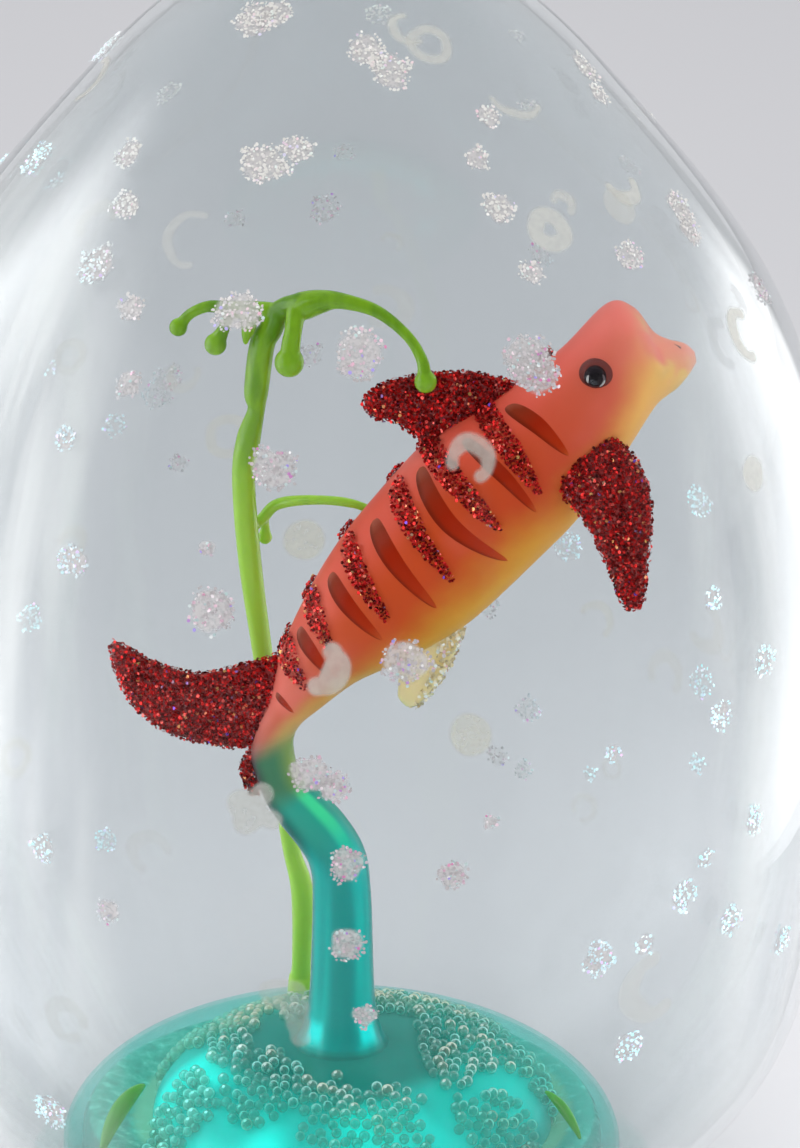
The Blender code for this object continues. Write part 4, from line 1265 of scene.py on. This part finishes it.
def build_beads():
    """Clear beads packed side by side in patches on the bulge."""
    chance = random.Random(RANDOM_SEED + 1)
    patches = list(BEAD_PATCHES)
    for _ in range(REAR_BEAD_PATCHES):
        bearing, from_axis = math.radians(chance.uniform(35, 160)), chance.uniform(8, 19)
        reach = chance.uniform(1.6, 3.4), chance.uniform(1.6, 3.2)
        patches.append((from_axis * math.cos(bearing), from_axis * math.sin(bearing), *reach))
    steps = [k * BEAD_STEP for k in range(-BEAD_STEPS, BEAD_STEPS + 1)]
    half = BEAD_STEP / 2
    spots = [(x + chance.uniform(-half, half), y + chance.uniform(-half, half)) for x in steps for y in steps]
    spots = [
        (x, y)
        for x, y in spots
        if math.hypot(x, y) < BEADS_REACH
        and any(math.hypot((x - px) / wide, (y - py) / deep) < PATCH_EDGE for px, py, wide, deep in patches)
    ]
    chance.shuffle(spots)
    places = np.empty((0, 3))
    for x, y in LONE_BEADS + spots:
        place = np.array(bead_place(x, y, BEAD_RADIUS * chance.uniform(0.8, 1.0)))
        if len(places) == 0 or np.linalg.norm(places - place, axis=1).min() > BEAD_SPACING:
            places = np.vstack([places, place])
    ground = new_mesh("bead_places", places, [], {})
    values = {"Bead Radius": BEAD_RADIUS * MM, "Seed": 3, "Finish": bead_glass()}
    add_piece(scattered("dome_beads", ground, bead_tree(), values), None, "clear_glass")


def build_blades():
    """Blades of green glass laid on the shell."""
    shades = [(0.02, 0.20, 0.01), (0.06, 0.40, 0.02), (0.01, 0.12, 0.008), (0.04, 0.34, 0.02)]
    olive = drop_glass("olive_glass", *shades, 0.3)
    for name, bearing_0, radius_0, bearing_1, radius_1, half_width in BLADES:
        run = np.linspace(0, 1, 19)
        bearing = np.radians(bearing_0 + (bearing_1 - bearing_0) * run)
        from_axis = radius_0 + (radius_1 - radius_0) * run
        rod = half_width * (0.25 + 0.75 * np.sin(math.pi * run) ** 0.8)
        lift = np.array([shell_height(r) for r in from_axis]) + rod * 0.8
        rows = np.hstack([about_axis(from_axis, bearing, lift), rod[:, None]])
        add_piece(rod_mesh("green_" + name, rows, 16), olive, "green_glass", name)


def build_skin():
    """Tube and fish as one skin."""
    places = np.linspace(0, len(SKIN_ROWS) - 1, (len(SKIN_ROWS) - 1) * SKIN_STEPS + 1)
    place, angle = np.meshgrid(places, full_turn(SKIN_TURNS), indexing="ij")
    from_back = np.minimum(angle, 2 * math.pi - angle) / math.pi
    floats = {"body_row": place - FIRST_BODY_ROW, "from_back": from_back}
    skin = grid_mesh("fish_and_tube", skin_point(place, angle), floats, closed=True, caps=True)
    nodes = ("support_tube", "tail_stock", "trunk_rear", "trunk_front", "head")
    add_piece(skin, skin_glass(), "satin_glass", *nodes)


def build_stripes(red_flakes):
    """Clear bars, nostrils and stripes of glitter on the fish, and its glittered saddle."""
    bars = [body_patch("bar", path, width, side, BAR_LIFT) for path, width in BARS for side in (1, -1)]
    add_piece(joined("side_bars", bars), bar_glass(), "satin_glass")
    slits = [body_patch("slit", NOSTRIL, 0.13, side, 0.04, 0.5) for side in (1, -1)]
    dark = plain_gloss("dark_slit", (0.08, 0.03, 0.02), (0.12, 0.05, 0.03), 700.0, 0.3)
    add_piece(joined("nostrils", slits), dark, "satin_glass")
    stripes = []
    for path, width in GLITTER_BARS:
        far_path = [(path[0][0], path[0][1] - FAR_STRIPE_LEAD)] + path[1:]
        for side, line in ((1, path), (-1, far_path)):
            stripes.append(body_patch("stripe", line, width, side, BAR_LIFT, STRIPE_WIDEST))
    stripes += [body_patch("saddle", SADDLE, 1.6, side, BAR_LIFT, 0.5) for side in (1, -1)]
    ground = joined("stripe_ground", stripes)
    size = {"radius": 0.17, "per_area": 2.3e7, "tilt": 0.75, "lift": 0.42}
    flakes = glitter("glitter_stripes", ground, red_flakes, **size, seed=21)
    add_piece(flakes, None, "red_glitter_glass")


def build_fins(red_flakes):
    """The red fins, covered in glitter."""
    fins = {
        "dorsal_fin": DORSAL,
        "pectoral_fin_right": PECTORAL_RIGHT,
        "pectoral_fin_left": PECTORAL_LEFT,
        "tail_fin_upper": TAIL_UPPER,
        "tail_fin_lower": TAIL_LOWER,
    }
    red = fin_glass()
    size = {"radius": 0.18, "per_area": 2.0e7, "tilt": 0.85, "lift": 0.3}
    for seed, (name, rows) in enumerate(fins.items(), 40):
        core = fin_mesh(name + "_core", rows)
        flakes = glitter(name + "_glitter", core.copy(), red_flakes, **size, seed=seed)
        add_piece(core, red, "red_glitter_glass", name)
        add_piece(flakes, None, "red_glitter_glass")


def build_anal_fin():
    """The yellow drop under the belly, glittered along its front edge."""
    shades = [(0.72, 0.50, 0.14), (0.90, 0.72, 0.30), (0.62, 0.36, 0.06), (0.95, 0.85, 0.5)]
    yellow = drop_glass("yellow_drop_glass", *shades, 0.3)
    rows = []
    for edge, other, half in ANAL:
        edge, other = Vector(edge), Vector(other)
        rows.append((edge, edge + (other - edge) * 0.45, half * 1.05))
    champagne = flake_finish("champagne_glitter", WARM_FLAKES, 0.1, 0.15, 0.35)
    size = {"radius": 0.22, "per_area": 0.9e7, "tilt": 0.8, "lift": 0.25}
    flakes = glitter("anal_fin_glitter", fin_mesh("anal_ground", rows), champagne, **size, seed=9)
    add_piece(fin_mesh("anal_fin_drop", ANAL), yellow, "yellow_glass", "anal_fin")
    add_piece(flakes, None, "yellow_glass")


def eye_highlights(centre, radius, sign):
    """Two pale strokes round the eye's ball: painted highlights."""
    lines = []
    for first, last, out in ((-62, 38, 0.98), (150, 205, 1.0)):
        turn = np.radians(np.linspace(first, last, 15))
        rows = np.empty((15, 4))
        rows[:, 0] = centre.x / MM - 0.18 + radius / MM * 0.50 * out * np.cos(turn)
        rows[:, 1] = (centre.y + sign * radius * 0.86) / MM
        rows[:, 2] = centre.z / MM - 0.22 + radius / MM * 0.50 * out * np.sin(turn)
        rows[:, 3] = radius / MM * 0.085 * np.clip(np.sin(np.linspace(0.25, math.pi - 0.25, 15)), 0.2, 1)
        lines.append(rod_mesh("line", rows, 10))
    return lines


def build_eyes():
    """Smoky glass eyes with a black ball in each, and pale strokes round it that are painted highlights."""
    smoky = eye_glass()
    black = plain_gloss("black_glass", (0.004, 0.004, 0.006), (0.02, 0.02, 0.03), 500.0, 0.05)
    # Pale strokes round the ball: painted highlights.
    pale = plain_gloss("painted_eye_highlight", (0.42, 0.40, 0.38), (0.62, 0.60, 0.58), 900.0, 0.2)
    for side, sign in (("right", -1), ("left", 1)):
        low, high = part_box("eye_" + side)
        centre = (low + high) / 2
        radius = (high.z - low.z) / 2
        lens = ball_mesh("eye_lens_" + side, radius * 1.02, centre, 40, 24, stretch=(1.08, 1.0, 0.92))
        add_piece(lens, smoky, "black_glass", "eye_" + side)
        inside = centre + Vector((-0.18 * MM, sign * radius * 0.30, -0.22 * MM))
        ball = ball_mesh("eye_ball_" + side, radius * 0.70, inside, 32, 20)
        add_piece(ball, black, "black_glass")
        lines = joined("eye_highlights_" + side, eye_highlights(centre, radius, sign))
        add_piece(lines, pale, "black_glass")


def build_plant():
    """The plant's rods and drops, melted together."""
    shades = [(0.12, 0.28, 0.012), (0.25, 0.47, 0.02), (0.07, 0.20, 0.008), (0.55, 0.90, 0.11)]
    lime = drop_glass("lime_glass", *shades, 0.22)
    rods = [rod_mesh("rod", with_drop(smoothed(rows, 6), drop)) for rows, drop in PLANT_RODS]
    plant = fused("green_plant", joined("plant_rods", rods), voxel=0.16, smoothing=6)
    add_piece(plant, lime, "green_glass", *PLANT_NODES)


def build_marks():
    """Milky marks and glitter dabs on the envelope."""
    chance = random.Random(RANDOM_SEED)
    marks = list(MARKS)
    for _ in range(REAR_MARKS):
        span, size = chance.choice((200, 240, 300, 360)), chance.uniform(0.9, 2.2)
        place = chance.uniform(REAR_FIRST, REAR_LAST), chance.uniform(26, 124)
        line = size, size * chance.uniform(0.3, 0.5), chance.uniform(0, 360), span, chance.uniform(0.14, 0.30)
        marks.append((*place, *line))
    dabs = list(DABS)
    for _ in range(REAR_DABS):
        place = chance.uniform(REAR_FIRST, REAR_LAST), chance.uniform(22, 127)
        dabs.append((*place, chance.uniform(0.8, 1.8)))
    painted = [mark_mesh(*mark) for mark in marks] + [blot_mesh(*blot) for blot in BLOTS]
    add_piece(joined("painted_marks", painted), milky_paint(), "clear_glass")
    ground = joined("glitter_glue", [dab_mesh(*dab, chance) for dab in dabs])
    size = {"radius": 0.17, "per_area": 0.8e7, "tilt": 0.6, "lift": 0.28}
    flakes = glitter("glitter_dabs", ground.copy(), pearl_finish(), **size, seed=6)
    add_piece(ground, glitter_glue(), "clear_glass")
    add_piece(flakes, None, "clear_glass")


def build_cap():
    """The gold cap with its crimped skirt, and the wire loop."""
    low, high = (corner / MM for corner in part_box("cap"))
    outline = smoothed([(11.6, low.z), (10.9, low.z + 0.8), *CAP_OUTLINE, (0.0, high.z)], 5)
    outline[-1, 0] = 0.0
    loop = walled(outline, CAP_WALL)
    skirt = np.clip((CRIMP_TOP - loop[:, 1:]) / (CRIMP_TOP - CRIMP_FULL), 0, 1)
    crimped = loop[:, :1] * (1 + CRIMP_DEPTH * skirt * np.cos(full_turn(CAP_TURNS) * CRIMPS))
    gold = brushed_gold()
    add_piece(turned_mesh("gold_cap", crimped, loop[:, 1], CAP_TURNS), gold, "gold_metal", "cap")
    low, high = (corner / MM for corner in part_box("cap_loop"))
    wire = (high.y - low.y) / 2
    reach = (high.x - low.x) / 2 - wire
    turn = np.linspace(math.pi, 0, 33)
    top = high.z - wire - reach
    arch = np.stack([reach * np.cos(turn), 0 * turn, top + reach * np.sin(turn), 0 * turn + wire], axis=1)
    rows = np.vstack([[(-reach, 0, low.z, wire)], arch, [(reach, 0, low.z, wire)]])
    add_piece(rod_mesh("wire_loop", rows, 16), gold, "gold_metal", "cap_loop")


def build_floor():
    """Plain pale floor."""
    mesh = bpy.data.meshes.new("floor")
    mesh.from_pydata([(-4, -4, 0), (4, -4, 0), (4, 4, 0), (-4, 4, 0)], [], [(0, 1, 2, 3)])
    plain = Finish("pale_floor")
    mesh.materials.append(plain.closed(plain.body((0.625, 0.62, 0.64), 0.9, 0.1)))
    add_object("floor", mesh)


def add_light(name, place, aim, size, radiance, soft, mirrored, lighting):
    """A rectangular light with soft edges, in the numbers of LIGHTS."""
    lamp = bpy.data.lights.new(name, "AREA")
    lamp.shape = "RECTANGLE"
    lamp.size, lamp.size_y = size[0] * MM, size[1] * MM
    lamp.energy = radiance * math.pi * lamp.size * lamp.size_y
    lamp.use_nodes = True
    tree = lamp.node_tree
    spot = put(tree, "ShaderNodeSeparateXYZ", {0: put(tree, "ShaderNodeNewGeometry").outputs["Parametric"]})
    from_middle = [(Value(spot.outputs[axis]) - 0.5).math("ABSOLUTE") for axis in "XY"]
    across, along = (part.eased(0.5, 0.5 - soft) for part in from_middle)
    tree.links.new((across * along).socket, tree.nodes["Emission"].inputs["Strength"])
    light = add_object(name, lamp)
    light.location = Vector(place) * MM
    light.rotation_euler = (Vector(place) - Vector(aim)).to_track_quat("Z", "Y").to_euler()
    light.visible_glossy = mirrored
    light.visible_diffuse = lighting


def build_light():
    """Plain soft studio light: a big soft box overhead, a low one in front, and a glowing card on
    each side that the glass mirrors."""
    world = bpy.data.worlds.new("studio")
    world.use_nodes = True
    tree = world.node_tree
    background = tree.nodes["Background"]
    background.inputs["Color"].default_value = (0.95, 0.97, 1.0, 1.0)
    ahead = put(tree, "ShaderNodeSeparateXYZ", {0: put(tree, "ShaderNodeTexCoord").outputs["Generated"]})
    glow = Value(ahead.outputs["Y"]).eased(-0.45, 0.15, 0.10, 0.68)
    tree.links.new(glow.socket, background.inputs["Strength"])
    bpy.context.scene.world = world
    for light in LIGHTS:
        add_light(*light)


def build_camera():
    """A long lens from in front and above."""
    camera = bpy.data.cameras.new("camera")
    camera.sensor_width = 36.0
    camera.lens = CAMERA_LENS
    camera.clip_start = 0.01
    camera.clip_end = 50.0
    down = math.radians(CAMERA_DOWN)
    back = Vector((0.0, -math.cos(down), math.sin(down)))
    right = Vector((1.0, 0.0, 0.0))
    turn = Matrix((right, back.cross(right), back)).transposed()
    turn = turn @ Matrix.Rotation(math.radians(CAMERA_ROLL), 3, "Z")
    place = Vector(CAMERA_AIM) * MM + back * (CAMERA_DISTANCE * MM)
    thing = add_object("camera", camera)
    thing.matrix_world = Matrix.Translation(place) @ turn.to_4x4()
    bpy.context.scene.camera = thing


def build():
    """Builds the ornament's looks and its stage."""
    red_flakes = flake_finish("red_glitter", RED_FLAKES, 0.75, 0.22, 0.42)
    build_camera()
    build_light()
    build_floor()
    build_envelope()
    build_dome()
    build_beads()
    build_blades()
    build_skin()
    build_stripes(red_flakes)
    build_fins(red_flakes)
    build_anal_fin()
    build_eyes()
    build_plant()
    build_marks()
    build_cap()
    bpy.context.scene.view_settings.view_transform = "Standard"
    bpy.context.scene.cycles.transparent_max_bounces = 32


build()
